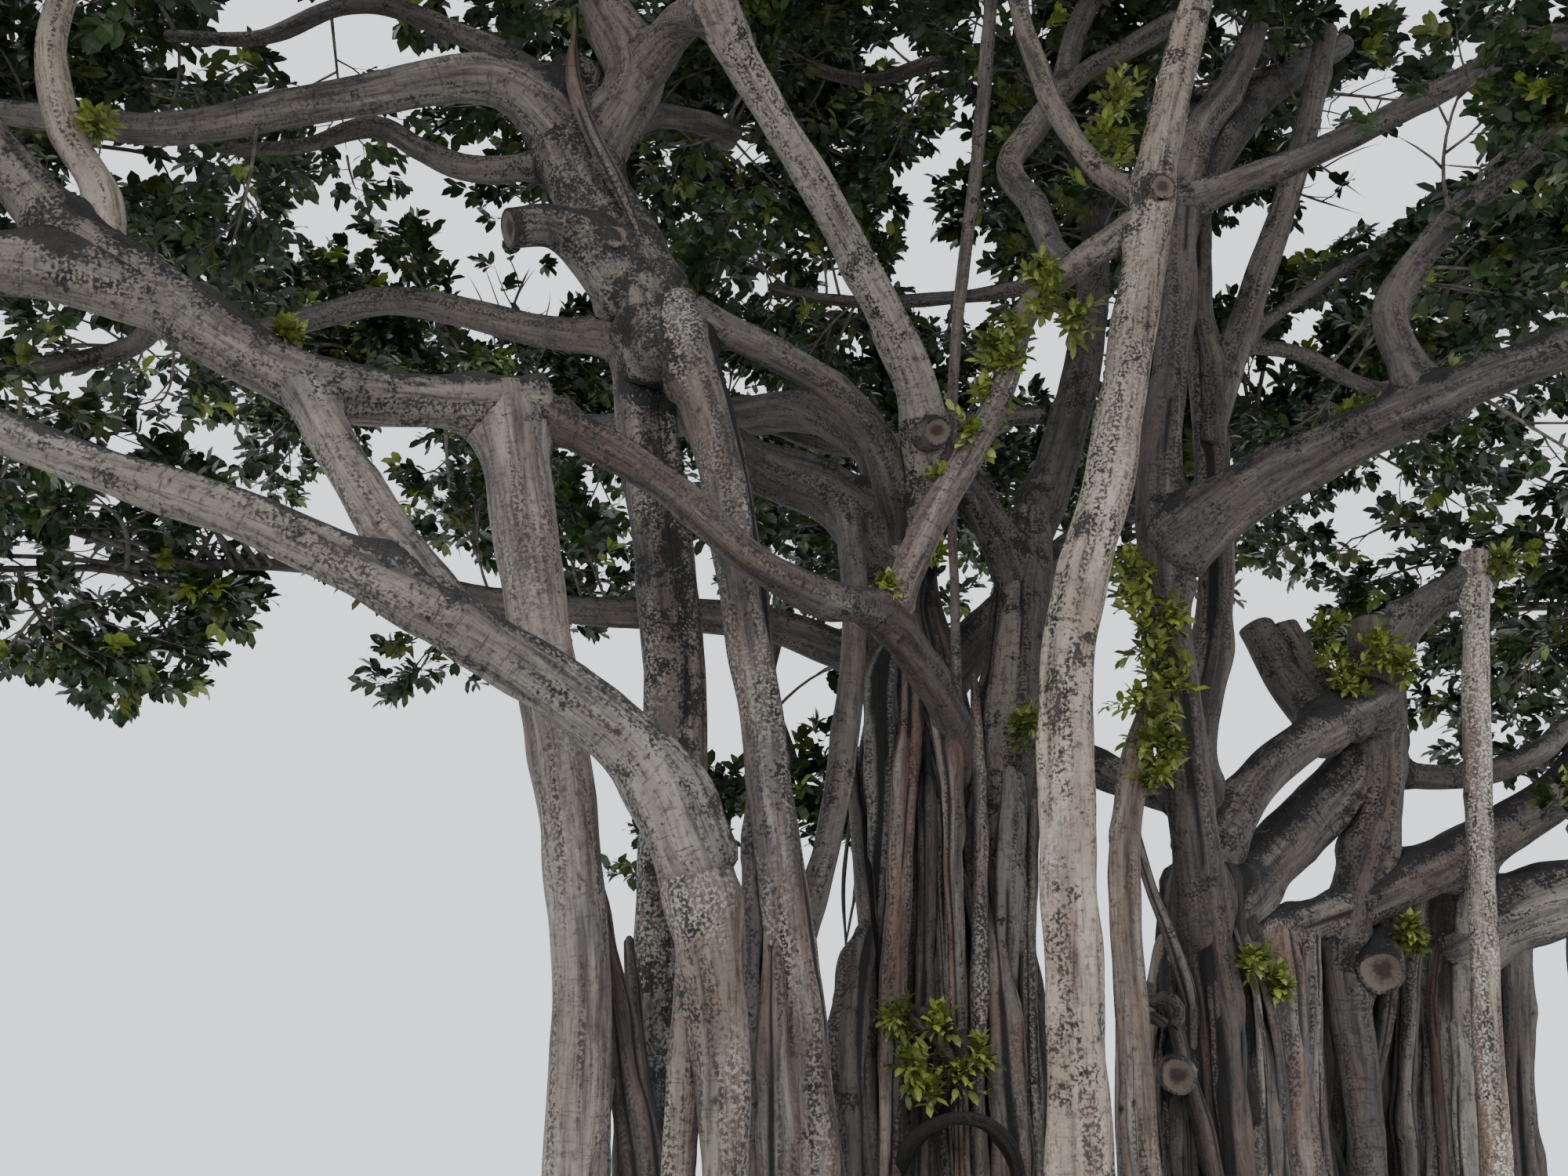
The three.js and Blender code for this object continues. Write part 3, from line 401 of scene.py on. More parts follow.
# Free roots: across the front of the trunk from left to right, round the right trunk, ones behind darkened
# with painted shade, loops on the two trunks, roots under the level bough on the right and beside the left
# pillars, and a split strip of bark on the left stem. Most come up from the ground and end inside a limb.
looseRoots = [
    {"through": [[-0.4, -0.7, 0], [-0.39, -0.68, 1.5], [-0.38, -0.6, 2.7], [-0.42, -0.5, 3.26],
                 [-0.47, -0.3, 4.2], [-0.35, -0.05, 4.7]],
     "radii": [0.07, 0.065, 0.06, 0.05, 0.04], "shade": 0.62, "lichen": 0.5, "stain": 0.4},
    {"through": [[-0.34, -0.5, 2.6], [-0.27, -0.54, 3.53], [-0.26, -0.4, 4.1], [-0.16, -0.1, 4.6]],
     "radii": [0.02, 0.07, 0.09, 0.05], "oval": 1.3, "warm": -1.0, "shade": 1.0},
    {"through": [[-0.31, -0.76, 0], [-0.3, -0.74, 1.5], [-0.25, -0.71, 2.5], [-0.18, -0.66, 3.28],
                 [-0.12, -0.5, 3.9], [-0.08, -0.15, 4.5]],
     "radii": [0.075, 0.07, 0.062, 0.07, 0.07, 0.04], "warm": 0.9, "shade": 1.0},
    {"through": [[0.07, -0.78, 0], [0.08, -0.76, 1.5], [0.1, -0.72, 2.49], [0.09, -0.72, 3.03],
                 [0.1, -0.8, 3.4], [0.04, -0.95, 3.82]],
     "radii": [0.05, 0.045, 0.04, 0.045, 0.05, 0.07], "warm": 1.0, "shade": 1.05},
    {"through": [[0.17, -0.72, 0], [0.18, -0.7, 1.5], [0.24, -0.66, 2.84], [0.29, -0.5, 3.6],
                 [0.33, -0.12, 4.3]],
     "radii": [0.06, 0.05, 0.045, 0.04, 0.03], "warm": 0.5, "shade": 0.75, "lichen": 0.8},
    {"through": [[0.37, -0.66, 0], [0.37, -0.64, 1.68], [0.36, -0.6, 2.25], [0.33, -0.35, 3.2]],
     "radii": [0.1, 0.09, 0.08, 0.03], "oval": 1.3, "warm": 1.0, "shade": 0.95, "stain": 0.1},
    {"through": [[0.42, -0.4, 1.9], [0.44, -0.52, 2.9], [0.5, -0.4, 3.6], [0.55, -0.1, 4.2]],
     "radii": [0.03, 0.075, 0.06, 0.03], "oval": 1.3, "warm": -1.0, "shade": 0.9},
    {"through": [[0.5, -0.6, 0], [0.5, -0.56, 1.8], [0.53, -0.5, 2.64], [0.62, -0.25, 3.8],
                 [0.6, -0.1, 4.3]],
     "radii": [0.07, 0.055, 0.05, 0.04], "shade": 0.5, "lichen": 0.6},
    {"through": [[-0.1, -0.72, 0], [-0.12, -0.7, 1.6], [-0.06, -0.66, 2.6], [-0.02, -0.5, 3.5],
                 [0, -0.1, 4.2]],
     "radii": [0.06, 0.05, 0.05, 0.04], "warm": 0.2, "shade": 0.55},
    {"through": [[0.83, -1.2, 0], [0.83, -1.2, 1.49], [0.86, -1.2, 2.17], [0.93, -1.24, 2.95]],
     "radii": [0.03, 0.024, 0.018], "shade": 1.0},
    {"through": [[0.86, -1.42, 0], [0.85, -1.4, 1.49], [0.87, -1.38, 2.1], [0.93, -1.27, 2.8]],
     "radii": [0.026, 0.02, 0.014], "shade": 1.0},
    {"through": [[1.4, -0.6, 2.2], [1.3, -0.78, 2.5], [1.16, -0.85, 2.9], [0.99, -1.1, 3.4]],
     "radii": [0.05, 0.045, 0.035, 0.03], "shade": 0.8},
    {"through": [[1.42, -0.9, 0], [1.37, -0.85, 1.45], [1.31, -0.8, 1.83], [1.25, -0.68, 2.3],
                 [1.35, -0.4, 2.6]],
     "radii": [0.06, 0.055, 0.05, 0.04], "warm": 0.5, "shade": 0.38},
    {"through": [[1.6, -0.75, 0], [1.54, -0.7, 1.44], [1.48, -0.65, 1.84], [1.4, -0.52, 2.4],
                 [1.45, -0.4, 2.7]],
     "radii": [0.065, 0.06, 0.05, 0.04], "warm": 0.6, "shade": 0.4},
    {"through": [[1.72, -0.62, 0], [1.72, -0.62, 1.48], [1.76, -0.56, 1.98], [1.8, -0.4, 2.62]],
     "radii": [0.105, 0.1, 0.09, 0.06], "oval": 1.35, "warm": 0.9, "shade": 0.9, "stain": 0.1},
    {"through": [[1.93, -0.46, 0], [1.93, -0.46, 1.47], [1.96, -0.4, 1.98], [2.04, -0.2, 2.72]],
     "radii": [0.11, 0.1, 0.09, 0.07], "oval": 1.35, "warm": 0.7, "shade": 0.95, "stain": 0.1},
    {"through": [[1.48, -0.74, 0], [1.5, -0.72, 1.5], [1.51, -0.66, 2.2], [1.51, -0.56, 2.75]],
     "radii": [0.11, 0.1, 0.115, 0.13], "warm": 0.6, "shade": 0.6, "stain": 0.3},
    {"through": [[2.1, -0.12, 0], [2.11, -0.12, 1.48], [2.18, -0.12, 2.2], [2.28, 0.0, 2.8]],
     "radii": [0.1, 0.085, 0.08, 0.07], "warm": 0.6, "shade": 0.75, "lichen": 0.5},
    {"through": [[2.94, 0.7, 0], [2.96, 0.7, 1.46], [3.01, 0.66, 2.06], [3.1, 0.35, 3.05]],
     "radii": [0.09, 0.075, 0.07, 0.05], "warm": -0.3, "shade": 0.65},
    {"through": [[2.55, 0.2, 1.3], [2.65, 0.3, 1.86], [2.77, 0.35, 2.14], [2.95, 0.3, 2.95]],
     "radii": [0.05, 0.05, 0.045, 0.04], "shade": 0.7},
    {"through": [[1.9, 0.9, 0], [1.95, 0.85, 1.4], [1.9, 0.1, 2.85]],
     "radii": [0.2, 0.17, 0.1], "oval": 1.2, "shade": 0.35},
    {"through": [[2.35, 0.95, 0], [2.4, 0.9, 1.4], [2.35, 0.2, 2.9]],
     "radii": [0.2, 0.18, 0.1], "oval": 1.2, "shade": 0.4},
    {"through": [[2.8, 1.0, 0], [2.8, 0.95, 1.4], [2.8, 0.3, 3.0]],
     "radii": [0.17, 0.15, 0.1], "warm": 0.5, "shade": 0.38},
    {"through": [[2.1, 1.2, 0], [2.15, 1.15, 1.4], [2.15, 0.3, 2.9]],
     "radii": [0.16, 0.15, 0.1], "warm": 0.4, "shade": 0.3},
    {"through": [[2.6, 1.15, 0], [2.6, 1.1, 1.4], [2.6, 0.35, 3.0]],
     "radii": [0.16, 0.15, 0.1], "shade": 0.35},
    {"through": [[3.02, 1.15, 0], [3.02, 1.1, 1.4], [3.05, 0.45, 3.05]],
     "radii": [0.16, 0.15, 0.1], "shade": 0.35},
    {"through": [[-0.28, -0.62, 1.3], [-0.17, -0.84, 1.59], [-0.02, -0.95, 1.68], [0.18, -0.98, 1.67],
                 [0.33, -0.92, 1.54], [0.37, -0.8, 1.3], [0.3, -0.6, 1.05]],
     "radii": [0.03, 0.04, 0.032, 0.04, 0.028], "lump": 0.3, "knots": 4, "shade": 0.12, "warm": 0.4},
    {"through": [[-0.22, -0.6, 2.25], [-0.15, -0.8, 2.2], [-0.02, -0.87, 2.12], [0.07, -0.89, 1.99],
                 [0.03, -0.82, 1.83], [-0.05, -0.6, 1.7]],
     "radii": [0.05, 0.07, 0.075, 0.06, 0.04], "shade": 0.28},
    {"through": [[1.16, -0.6, 2.38], [1.13, -0.86, 2.28], [1.2, -0.92, 2.3], [1.25, -0.92, 2.23],
                 [1.2, -0.92, 2.15], [1.13, -0.9, 2.19], [1.12, -0.6, 2.22]],
     "radii": [0.03, 0.034, 0.03, 0.028, 0.02], "shade": 0.4},
    {"through": [[3.75, 1.05, 0], [3.78, 1.0, 1.4], [3.85, 0.75, 2.95]],
     "radii": [0.14, 0.12, 0.1], "warm": 0.4, "shade": 0.5},
    {"through": [[4.25, 1.0, 0], [4.25, 1.0, 1.4], [4.3, 0.8, 3.0]],
     "radii": [0.12, 0.1, 0.08], "shade": 0.5},
    {"through": [[-1.4, -2.45, 0], [-1.46, -2.45, 1.44], [-1.52, -2.42, 1.76], [-1.58, -2.4, 2.09],
                 [-1.66, -2.42, 2.45], [-1.76, -2.5, 2.8]],
     "radii": [0.13, 0.12, 0.11, 0.1, 0.07, 0.04], "warm": 0.8, "shade": 0.55, "stain": 0.2},
    {"through": [[-1.6, -2.68, 0], [-1.62, -2.7, 1.2], [-1.61, -2.64, 1.6], [-1.6, -2.5, 1.82]],
     "radii": [0.08, 0.07, 0.06, 0.03], "warm": 0.2, "shade": 0.8},
    {"through": [[-1.42, -2.0, 0], [-1.44, -2.0, 1.43], [-1.47, -2.0, 1.7], [-1.52, -2.0, 2.01],
                 [-1.6, -1.75, 2.5]],
     "radii": [0.08, 0.07, 0.065, 0.05, 0.03], "warm": 0.5, "shade": 0.4},
    {"through": [[-1.38, -1.2, 0], [-1.4, -1.25, 1.42], [-1.43, -1.3, 1.97], [-1.47, -1.3, 2.54],
                 [-1.5, -1.4, 3.4]],
     "radii": [0.12, 0.11, 0.1, 0.08, 0.05], "shade": 0.4},
    {"through": [[-0.97, -2.1, 0], [-0.97, -2.1, 1.44], [-0.98, -2.1, 1.93], [-1.0, -2.05, 2.46],
                 [-1.01, -2.0, 2.84], [-1.0, -1.9, 3.2]],
     "radii": [0.1, 0.09, 0.08, 0.07, 0.05, 0.03], "lump": 0.2, "knots": 2, "shade": 0.5, "stain": 0.5},
    {"through": [[-0.86, -2.22, 0], [-0.88, -2.2, 1.44], [-0.89, -2.15, 1.93], [-0.9, -2.1, 2.35],
                 [-0.91, -2.0, 2.75]],
     "radii": [0.14, 0.12, 0.1, 0.07, 0.03], "lump": 0.14, "warm": 0.5, "shade": 0.75},
    {"through": [[-0.52, -1.3, 0], [-0.52, -1.3, 1.42], [-0.53, -1.3, 1.78], [-0.53, -1.25, 2.09],
                 [-0.49, -1.1, 2.37], [-0.42, -0.8, 2.65]],
     "radii": [0.14, 0.12, 0.1, 0.1, 0.09, 0.06], "lump": 0.2, "knots": 2, "shade": 0.45, "stain": 0.5},
    {"through": [[-1.55, -1.8, 6.1], [-1.77, -2.0, 6.58], [-1.94, -2.04, 6.93], [-2.06, -1.95, 7.35],
                 [-2.1, -1.75, 8.01]],
     "radii": [0.012, 0.03, 0.036, 0.028, 0.008], "oval": 1.3, "warm": 0.7, "shade": 0.8},
]

# Leaf masses: the limb whose tip each one grows from, the middle of its space and its reach along X, Y, Z.
masses = {
    "foliage_right": {"bough": "high_right_bough", "middle": [6.3, 0.1, 8.0], "reach": [2.5, 2.4, 1.7]},
    "foliage_back_right": {"bough": "back_right_bough", "middle": [4.3, 4.3, 8.2], "reach": [2.5, 2.4, 1.7]},
    "foliage_back": {"bough": "back_bough", "middle": [0.1, 6.1, 8.3], "reach": [2.5, 2.2, 1.7]},
    "foliage_back_left": {"bough": "rear_left_bough", "middle": [-4.2, 4.3, 8.3], "reach": [2.5, 2.4, 1.7]},
    "foliage_left": {"bough": "high_left_bough", "middle": [-6.5, 0.2, 8.1], "reach": [2.4, 2.4, 1.7]},
    "foliage_front_left": {"bough": "upper_left_bough", "middle": [-5.0, -4.4, 7.9],
                           "reach": [2.3, 2.3, 1.6]},
    "foliage_front": {"bough": "leaning_limb", "middle": [-0.4, -6.0, 8.7], "reach": [2.6, 2.2, 1.5]},
    "foliage_front_right": {"bough": "right_bough", "middle": [4.5, -4.5, 7.8], "reach": [2.5, 2.4, 1.7]},
    "foliage_low_left": {"bough": "low_left_bough", "middle": [-6.9, -3.7, 5.7], "reach": [1.9, 1.9, 1.2]},
    "foliage_low_back_left": {"bough": "rear_rail", "middle": [-6.6, 1.5, 5.6], "reach": [1.9, 2.0, 1.3]},
    "foliage_low_right": {"bough": "low_right_bough", "middle": [5.8, 3.3, 5.9], "reach": [2.1, 2.1, 1.3]},
    "foliage_upper_front_right": {"bough": "pale_pillar", "middle": [2.4, -2.2, 10.1],
                                  "reach": [2.5, 2.3, 1.6]},
    "foliage_upper_back_right": {"bough": "dark_bough", "middle": [2.5, 2.3, 10.2],
                                 "reach": [2.4, 2.3, 1.6]},
    "foliage_upper_back_left": {"bough": "rear_crown_branch", "middle": [-1.8, 2.7, 10.3],
                                "reach": [2.4, 2.3, 1.6]},
    "foliage_upper_left": {"bough": "crown_fork_left", "middle": [-2.6, -1.7, 10.1],
                           "reach": [2.5, 2.4, 1.6]},
    "foliage_top": {"bough": "riser", "middle": [0.4, 0.3, 11.2], "reach": [2.1, 2.1, 1.3]},
}
massMiddles = np.array([mass["middle"] for mass in masses.values()])
massReaches = np.array([mass["reach"] for mass in masses.values()])

# The pale slot, and the regions of bark that are joined into one mesh each.
paleLimbs = ["pale_pillar", "pale_root", "edge_pillar", "front_pillar", "left_riser"]
regions = {
    "trunks": ["trunk", "right_trunk"],
    "pillars": ["left_pillar", "slim_pillars", "bent_pillar", "twisted_pillar", "broad_pillar", "low_rail"],
    "left": ["left_stem", "low_left_bough", "upper_left_bough", "left_strut", "crossing_limb",
             "crossing_fork", "slanting_root", "high_left_bough", "mid_left_bough", "rear_low_bough",
             "leaning_limb", "shoulder_limb", "crown_fork_left", "crown_fork_right", "rear_crown_branch",
             "rear_left_bough", "rear_rail"],
    "right": ["second_stem", "riser", "right_stem", "fluted_stem", "right_riser", "right_bough",
              "high_right_bough", "dark_bough", "right_fork_low", "right_fork_high", "stump_arm",
              "low_right_bough", "back_bough", "back_right_bough"],
    "pale": paleLimbs,
}
# The first seed of each region, so that a limb added at the end of one leaves the others as they are.
firstSeeds = {"trunks": 0, "pillars": 3, "left": 15, "right": 39, "pale": 67}

# How the bark of each limb is shaped and coloured. `lobes` fused roots stand round a core, each `lobeWide`
# radians wide and rising `lobeHigh` of the radius, and `threads` thin roots lie on them. `ribs` is the height
# of the sinews, in metres on a limb of 1 m radius, and `shade` darkens the whole bark: partly the limb's own
# darker tone, partly painted shade from the crown above and between the roots.
plainBark = {
    "pitch": 0.04, "spacing": 0.027, "lobes": 0, "lobeWide": 0.3, "lobeHigh": 0.2, "threads": 0,
    "lump": 0.045, "ribs": 0.03, "knots": 0.9, "wrinkle": 0.25, "stain": 0.34, "upper": 0.55, "warm": 0.2,
    "lichen": 0.15, "tone": 0.0, "shade": 0.72,
}
barkLooks = {
    "trunk": {"pitch": 0.034, "spacing": 0.0165, "slim": 0.84, "lobes": 17, "lobeWide": 0.25,
              "lobeHigh": 0.24, "threads": 30, "lump": 0.02, "ribs": 0.02, "knots": 0.2, "wrinkle": 0,
              "stain": 0.34, "upper": 0.2, "warm": 0.7, "shade": 0.52},
    "right_trunk": {"pitch": 0.034, "spacing": 0.0165, "slim": 0.84, "lobes": 11, "lobeWide": 0.36,
                    "lobeHigh": 0.24, "threads": 14, "lump": 0.02, "ribs": 0.02, "knots": 0.2, "wrinkle": 0,
                    "warm": 0.6, "shade": 0.19},
    "bent_pillar": {"spacing": 0.02, "lobes": 5, "lobeWide": 0.8, "lobeHigh": 0.16, "threads": 3,
                    "lichen": 0.6, "wrinkle": 0.1, "warm": 0.5, "stain": 0.4, "shade": 0.8},
    "broad_pillar": {"spacing": 0.02, "lobes": 8, "lobeWide": 0.5, "lobeHigh": 0.2, "threads": 8,
                     "wrinkle": 0.1, "knots": 0.3, "shade": 0.85, "tone": 0.15, "upper": 0.9, "warm": -0.25},
    "second_stem": {"spacing": 0.02, "lobes": 6, "lobeWide": 0.62, "lobeHigh": 0.16, "threads": 5,
                    "stain": 0.5, "shade": 0.6},
    "slim_pillars": {"spacing": 0.022, "lobes": 4, "lobeWide": 0.9, "lobeHigh": 0.14, "threads": 3,
                     "stain": 0.6, "lichen": 0.5, "warm": 0.4, "shade": 0.9},
    "fluted_stem": {"spacing": 0.022, "lobes": 5, "lobeWide": 0.75, "lobeHigh": 0.16, "threads": 2,
                    "shade": 0.6, "wrinkle": 0.1},
    "low_rail": {"lobes": 4, "lobeWide": 0.8, "lobeHigh": 0.12, "threads": 2, "stain": 0.42, "warm": 0.5,
                 "shade": 0.75},
    "left_pillar": {"lump": 0.03, "stain": 0.26, "upper": 0.1, "lichen": 0.25, "knots": 0.5, "tone": 0.05,
                    "shade": 1.0},
    "twisted_pillar": {"wrinkle": 0.4, "lump": 0.07, "lobes": 3, "lobeWide": 1.1, "lobeHigh": 0.12,
                       "shade": 0.7, "warm": 0.4},
    "pale_pillar": {"spacing": 0.022, "lobes": 3, "lobeWide": 1.2, "lobeHigh": 0.1, "stain": 0.52,
                    "lichen": 0.6, "tone": 0.34, "warm": 0.45, "wrinkle": 0.2, "threads": 2, "shade": 0.84},
    "pale_root": {"spacing": 0.02, "lobes": 4, "lobeWide": 0.85, "lobeHigh": 0.14, "tone": 0.1,
                  "threads": 2, "stain": 0.25, "warm": 0.5, "shade": 0.7},
    "edge_pillar": {"lichen": 1.4, "tone": 0.12, "stain": 0.38, "shade": 0.98, "warm": 0.5},
    "front_pillar": {"lichen": 0.9, "tone": 0.1, "stain": 0.38, "spacing": 0.022, "shade": 0.54, "warm": 0.4},
    "low_left_bough": {"wrinkle": 0.5, "stain": 0.4, "upper": 0.85, "tone": 0.18, "knots": 1.4,
                       "shade": 0.72},
    "upper_left_bough": {"wrinkle": 0.45, "stain": 0.48, "upper": 0.9, "tone": 0.2, "knots": 1.4,
                         "shade": 0.64},
    "left_strut": {"shade": 0.9, "tone": 0.1},
    "left_riser": {"tone": 0.3, "stain": 0.1, "lump": 0.07, "lichen": 0.4, "shade": 0.85},
    "crossing_limb": {"warm": 0.65, "lump": 0.08, "knots": 2.4, "stain": 0.42, "wrinkle": 0.4, "shade": 0.6},
    "crossing_fork": {"warm": 0.5, "lump": 0.07, "knots": 1.8, "tone": 0.15, "wrinkle": 0.5, "shade": 0.78},
    "leaning_limb": {"tone": 0.3, "stain": 0.46, "wrinkle": 0.4, "knots": 1.4, "shade": 0.95},
    "left_stem": {"tone": 0.25, "stain": 0.64, "lump": 0.06, "knots": 1.0, "wrinkle": 0.4, "shade": 0.56},
    "crown_fork_left": {"tone": 0.15, "shade": 0.7},
    "high_left_bough": {"tone": 0.15, "wrinkle": 0.45, "shade": 0.75},
    "right_fork_low": {"wrinkle": 0.8, "stain": 0.42, "upper": 0.8, "shade": 0.7},
    "right_fork_high": {"wrinkle": 0.6, "stain": 0.42, "upper": 0.8, "shade": 0.7},
    "low_right_bough": {"wrinkle": 0.4, "stain": 0.5, "upper": 0.8, "warm": 0.45, "shade": 0.75},
    "right_bough": {"stain": 0.42, "upper": 0.75, "wrinkle": 0.3, "shade": 0.66},
    "right_stem": {"stain": 0.42, "shade": 0.6, "lobes": 3, "lobeWide": 1.1, "lobeHigh": 0.12},
    "dark_bough": {"stain": 0.5, "tone": -0.2, "shade": 0.55},
    "right_riser": {"slim": 1.22, "stain": 0.4, "tone": 0.1, "shade": 0.66},
    "riser": {"stain": 0.5, "tone": -0.15, "shade": 0.55},
    "rear_low_bough": {"shade": 0.6},
    "rear_left_bough": {"shade": 0.6},
    "rear_rail": {"shade": 0.6},
    "back_bough": {"shade": 0.55},
    "back_right_bough": {"shade": 0.55},
}
thinBark = {"pitch": 0.06, "spacing": 0.03, "knots": 0.5, "lump": 0.06, "stain": 0.4, "shade": 0.68}
looseBark = {"pitch": 0.05, "spacing": 0.021, "lobes": 5, "lobeWide": 0.55, "lobeHigh": 0.32, "knots": 0.25,
             "lump": 0.09, "stain": 0.34, "upper": 0, "wrinkle": 0, "lichen": 0.1, "ribs": 0.08}


def unit(vectors):
    return vectors / np.maximum(np.linalg.norm(vectors, axis=-1, keepdims=True), 1e-9)


# A repeatable number from 0 to 1 for each value: the part after the point of a large multiple of its sine.
def scatter(values):
    wave = np.sin(values) * 43758.5453
    return wave - np.floor(wave)


# Smooth noise from -1 to 1: the random values at the eight corners of a cell, blended by 3f^2 - 2f^3.
cellWeights = np.array([127.1, 311.7, 74.7])
seedStep = 17.31


def smoothNoise(points, scale, seed):
    place = np.asarray(points) * scale + seed * seedStep
    cell = np.floor(place)
    part = place - cell
    ease = part * part * (3 - 2 * part)
    total = 0
    for corner in np.ndindex(2, 2, 2):
        blend = np.prod(np.where(corner, ease, 1 - ease), axis=-1)
        total = total + scatter((cell + corner) @ cellWeights) * blend
    return total * 2 - 1


# Centripetal Catmull-Rom curve: each span is a cubic whose end slopes come from the neighbouring points,
# weighted by the square roots of the spans. It is then read off at even lengths.
def curveThrough(points, pitch):
    points = np.asarray(points, float)
    ends = np.vstack([2 * points[0] - points[1], points, 2 * points[-1] - points[-2]])
    root = np.sqrt(np.linalg.norm(np.diff(ends, axis=0), axis=1))[:, None]
    before, span, after = root[:-2], root[1:-1], root[2:]
    p0, p1, p2, p3 = ends[:-3], ends[1:-2], ends[2:-1], ends[3:]
    slopeIn = ((p1 - p0) / before - (p2 - p0) / (before + span) + (p2 - p1) / span) * span
    slopeOut = ((p2 - p1) / span - (p3 - p1) / (span + after) + (p3 - p2) / after) * span
    u = np.linspace(0, 1, 24, endpoint=False)[None, :, None]
    cubic = (p1[:, None] + slopeIn[:, None] * u
             + (3 * p2 - 3 * p1 - 2 * slopeIn - slopeOut)[:, None] * u ** 2
             + (2 * p1 - 2 * p2 + slopeIn + slopeOut)[:, None] * u ** 3)
    dense = np.vstack([cubic.reshape(-1, 3), points[-1]])
    run = lengthAlong(dense)
    even = np.linspace(0, run[-1], max(4, round(run[-1] / pitch)) + 1)
    return np.stack([np.interp(even, run, dense[:, k]) for k in range(3)], -1)


def lengthAlong(line):
    return np.concatenate([[0], np.cumsum(np.linalg.norm(np.diff(line, axis=0), axis=1))])


# Frames along a line: the tangent, and two directions across it made from the axis that it follows least.
def framesAlong(line, axis=None):
    along = unit(np.gradient(line, axis=0))
    axis = np.eye(3)[np.argmin(np.abs(along).max(axis=0))] if axis is None else np.array(axis)
    side = unit(axis - (along @ axis)[:, None] * along)
    return along, side, np.cross(along, side)


def spreadOver(values, count):
    return np.interp(np.linspace(0, 1, count), np.linspace(0, 1, len(values)), values)


def softened(values, times):
    for _ in range(times):
        padded = np.concatenate([values[:1], values, values[-1:]])
        values = (padded[:-2] + 2 * padded[1:-1] + padded[2:]) / 4
    return values


# Polar union of fused roots: each root is a bump on a core, (1 - x^2) to the power `round` across its width,
# at an angle that wanders with length. The highest bump wins, and near ties are rounded. Also gives the
# winner's tone. Threads are thin roots on top of the others. Angles are in radians, `fade`, `sunk`, `blend`
# and a thread's width in metres, and the rest are shares.
rootRule = {
    "core": 0.7, "apart": 0.3, "slope": 0.09, "sway": 0.09, "wide": (0.75, 1.3), "high": (0.6, 1.25),
    "stopping": 0.3, "stop": (0.4, 0.8), "threadSway": (0.1, 0.22), "threadWide": (0.022, 0.05),
    "threadHigh": (0.7, 1.0), "threadStart": (-0.2, 0.75), "threadLength": (0.3, 0.9), "fade": 0.35,
    "pulse": 0.14, "round": 0.6, "sunk": 0.004, "blend": 0.012,
}


def fusedRoots(angle, run, base, look, rule, rng):
    core = base[:, None] * (1 - rule["core"] * look["lobeHigh"]) * np.ones_like(angle)
    surface = core.copy()
    tone = np.zeros_like(surface)
    length = run[-1]
    count = look["lobes"] + look["threads"]
    for j in range(count):
        isThread = j >= look["lobes"]
        start = 2 * math.pi * (j + rng.uniform(-rule["apart"], rule["apart"])) / look["lobes"]
        sway = rule["sway"]
        if isThread:
            start = rng.uniform(0, 2 * math.pi)
            sway = rng.uniform(*rule["threadSway"])
        turn = (start + rng.uniform(-rule["slope"], rule["slope"]) * run
                + sway * np.sin(run * rng.uniform(1.2, 2.6) + rng.uniform(0, 6))
                + 0.3 * sway * np.sin(run * rng.uniform(4, 7) + rng.uniform(0, 6)))
        if isThread:
            wide = rng.uniform(*rule["threadWide"]) / base.mean()
            high = wide * base * rng.uniform(*rule["threadHigh"])
            first = rng.uniform(*rule["threadStart"]) * length
            last = first + rng.uniform(*rule["threadLength"]) * length
        else:
            wide = look["lobeWide"] * rng.uniform(*rule["wide"])
            high = base * look["lobeHigh"] * rng.uniform(*rule["high"])
            first, last = -1, length + 1
            if rng.random() < rule["stopping"] and look["lobes"] > 6:
                last = rng.uniform(*rule["stop"]) * length
        fade = np.clip((run - first) / rule["fade"], 0, 1) * np.clip((last - run) / rule["fade"], 0, 1)
        pulse = 1 + rule["pulse"] * np.sin(run * rng.uniform(2, 5) + rng.uniform(0, 6))
        off = (angle - turn[:, None] + math.pi) % (2 * math.pi) - math.pi
        bump = np.clip(1 - (off / (wide * pulse[:, None])) ** 2, 0, 1) ** rule["round"]
        under = surface if isThread else core
        rise = under + (high * fade * pulse)[:, None] * bump - (rule["sunk"] if isThread else 0)
        tone = np.where(rise > surface, rng.uniform(-1, 1), tone)
        near = np.clip(1 - np.abs(rise - surface) / rule["blend"], 0, 1)
        surface = np.maximum(surface, rise) + near * near * rule["blend"] / 4 * (bump > 0)
    # Painted shade: how deep each point lies below the tops of the roots, which darkens the grooves between
    # them.
    top = (base * (1 + 0.3 * look["lobeHigh"]))[:, None]
    groove = np.clip((top - surface) / (top - core + 1e-6), 0, 1)
    return surface, tone, groove


# A limb's skin is a grid of rings carried along its centre line, and along its `tail` past the tip. The
# radius of a ring is the limb's own, times low lumps, plus sinews of noise drawn out along the limb, plus
# knots: rings of raised bark round a dip, whose middle gets painted shade. A limb on the ground starts
# `buried` metres below it and is cut just under it, and its flare dies away over `footHeight`. Sinews are
# layers of
# noise: the weight of each, its scale across and along the limb, and what it adds to the seed.
skinRule = {
    "buried": 0.4, "cutBelow": 0.06, "footHeight": 0.3, "softening": 12, "fewestColumns": 9,
    "lumps": (1, 2, 2, 3, 4), "lumpSway": 1.2,
    "sinews": [(0.6, (9.0, 9.0, 1.5), 0.0), (0.4, (6.0, 6.0, 6.0), 0.4), (0.3, (17.0, 17.0, 7.0), 0.7)],
    "knotShare": 0.8, "knotSize": (0.025, 0.06), "knotHigh": 0.3, "knotDip": 1.2, "toneSpread": 0.22,
}


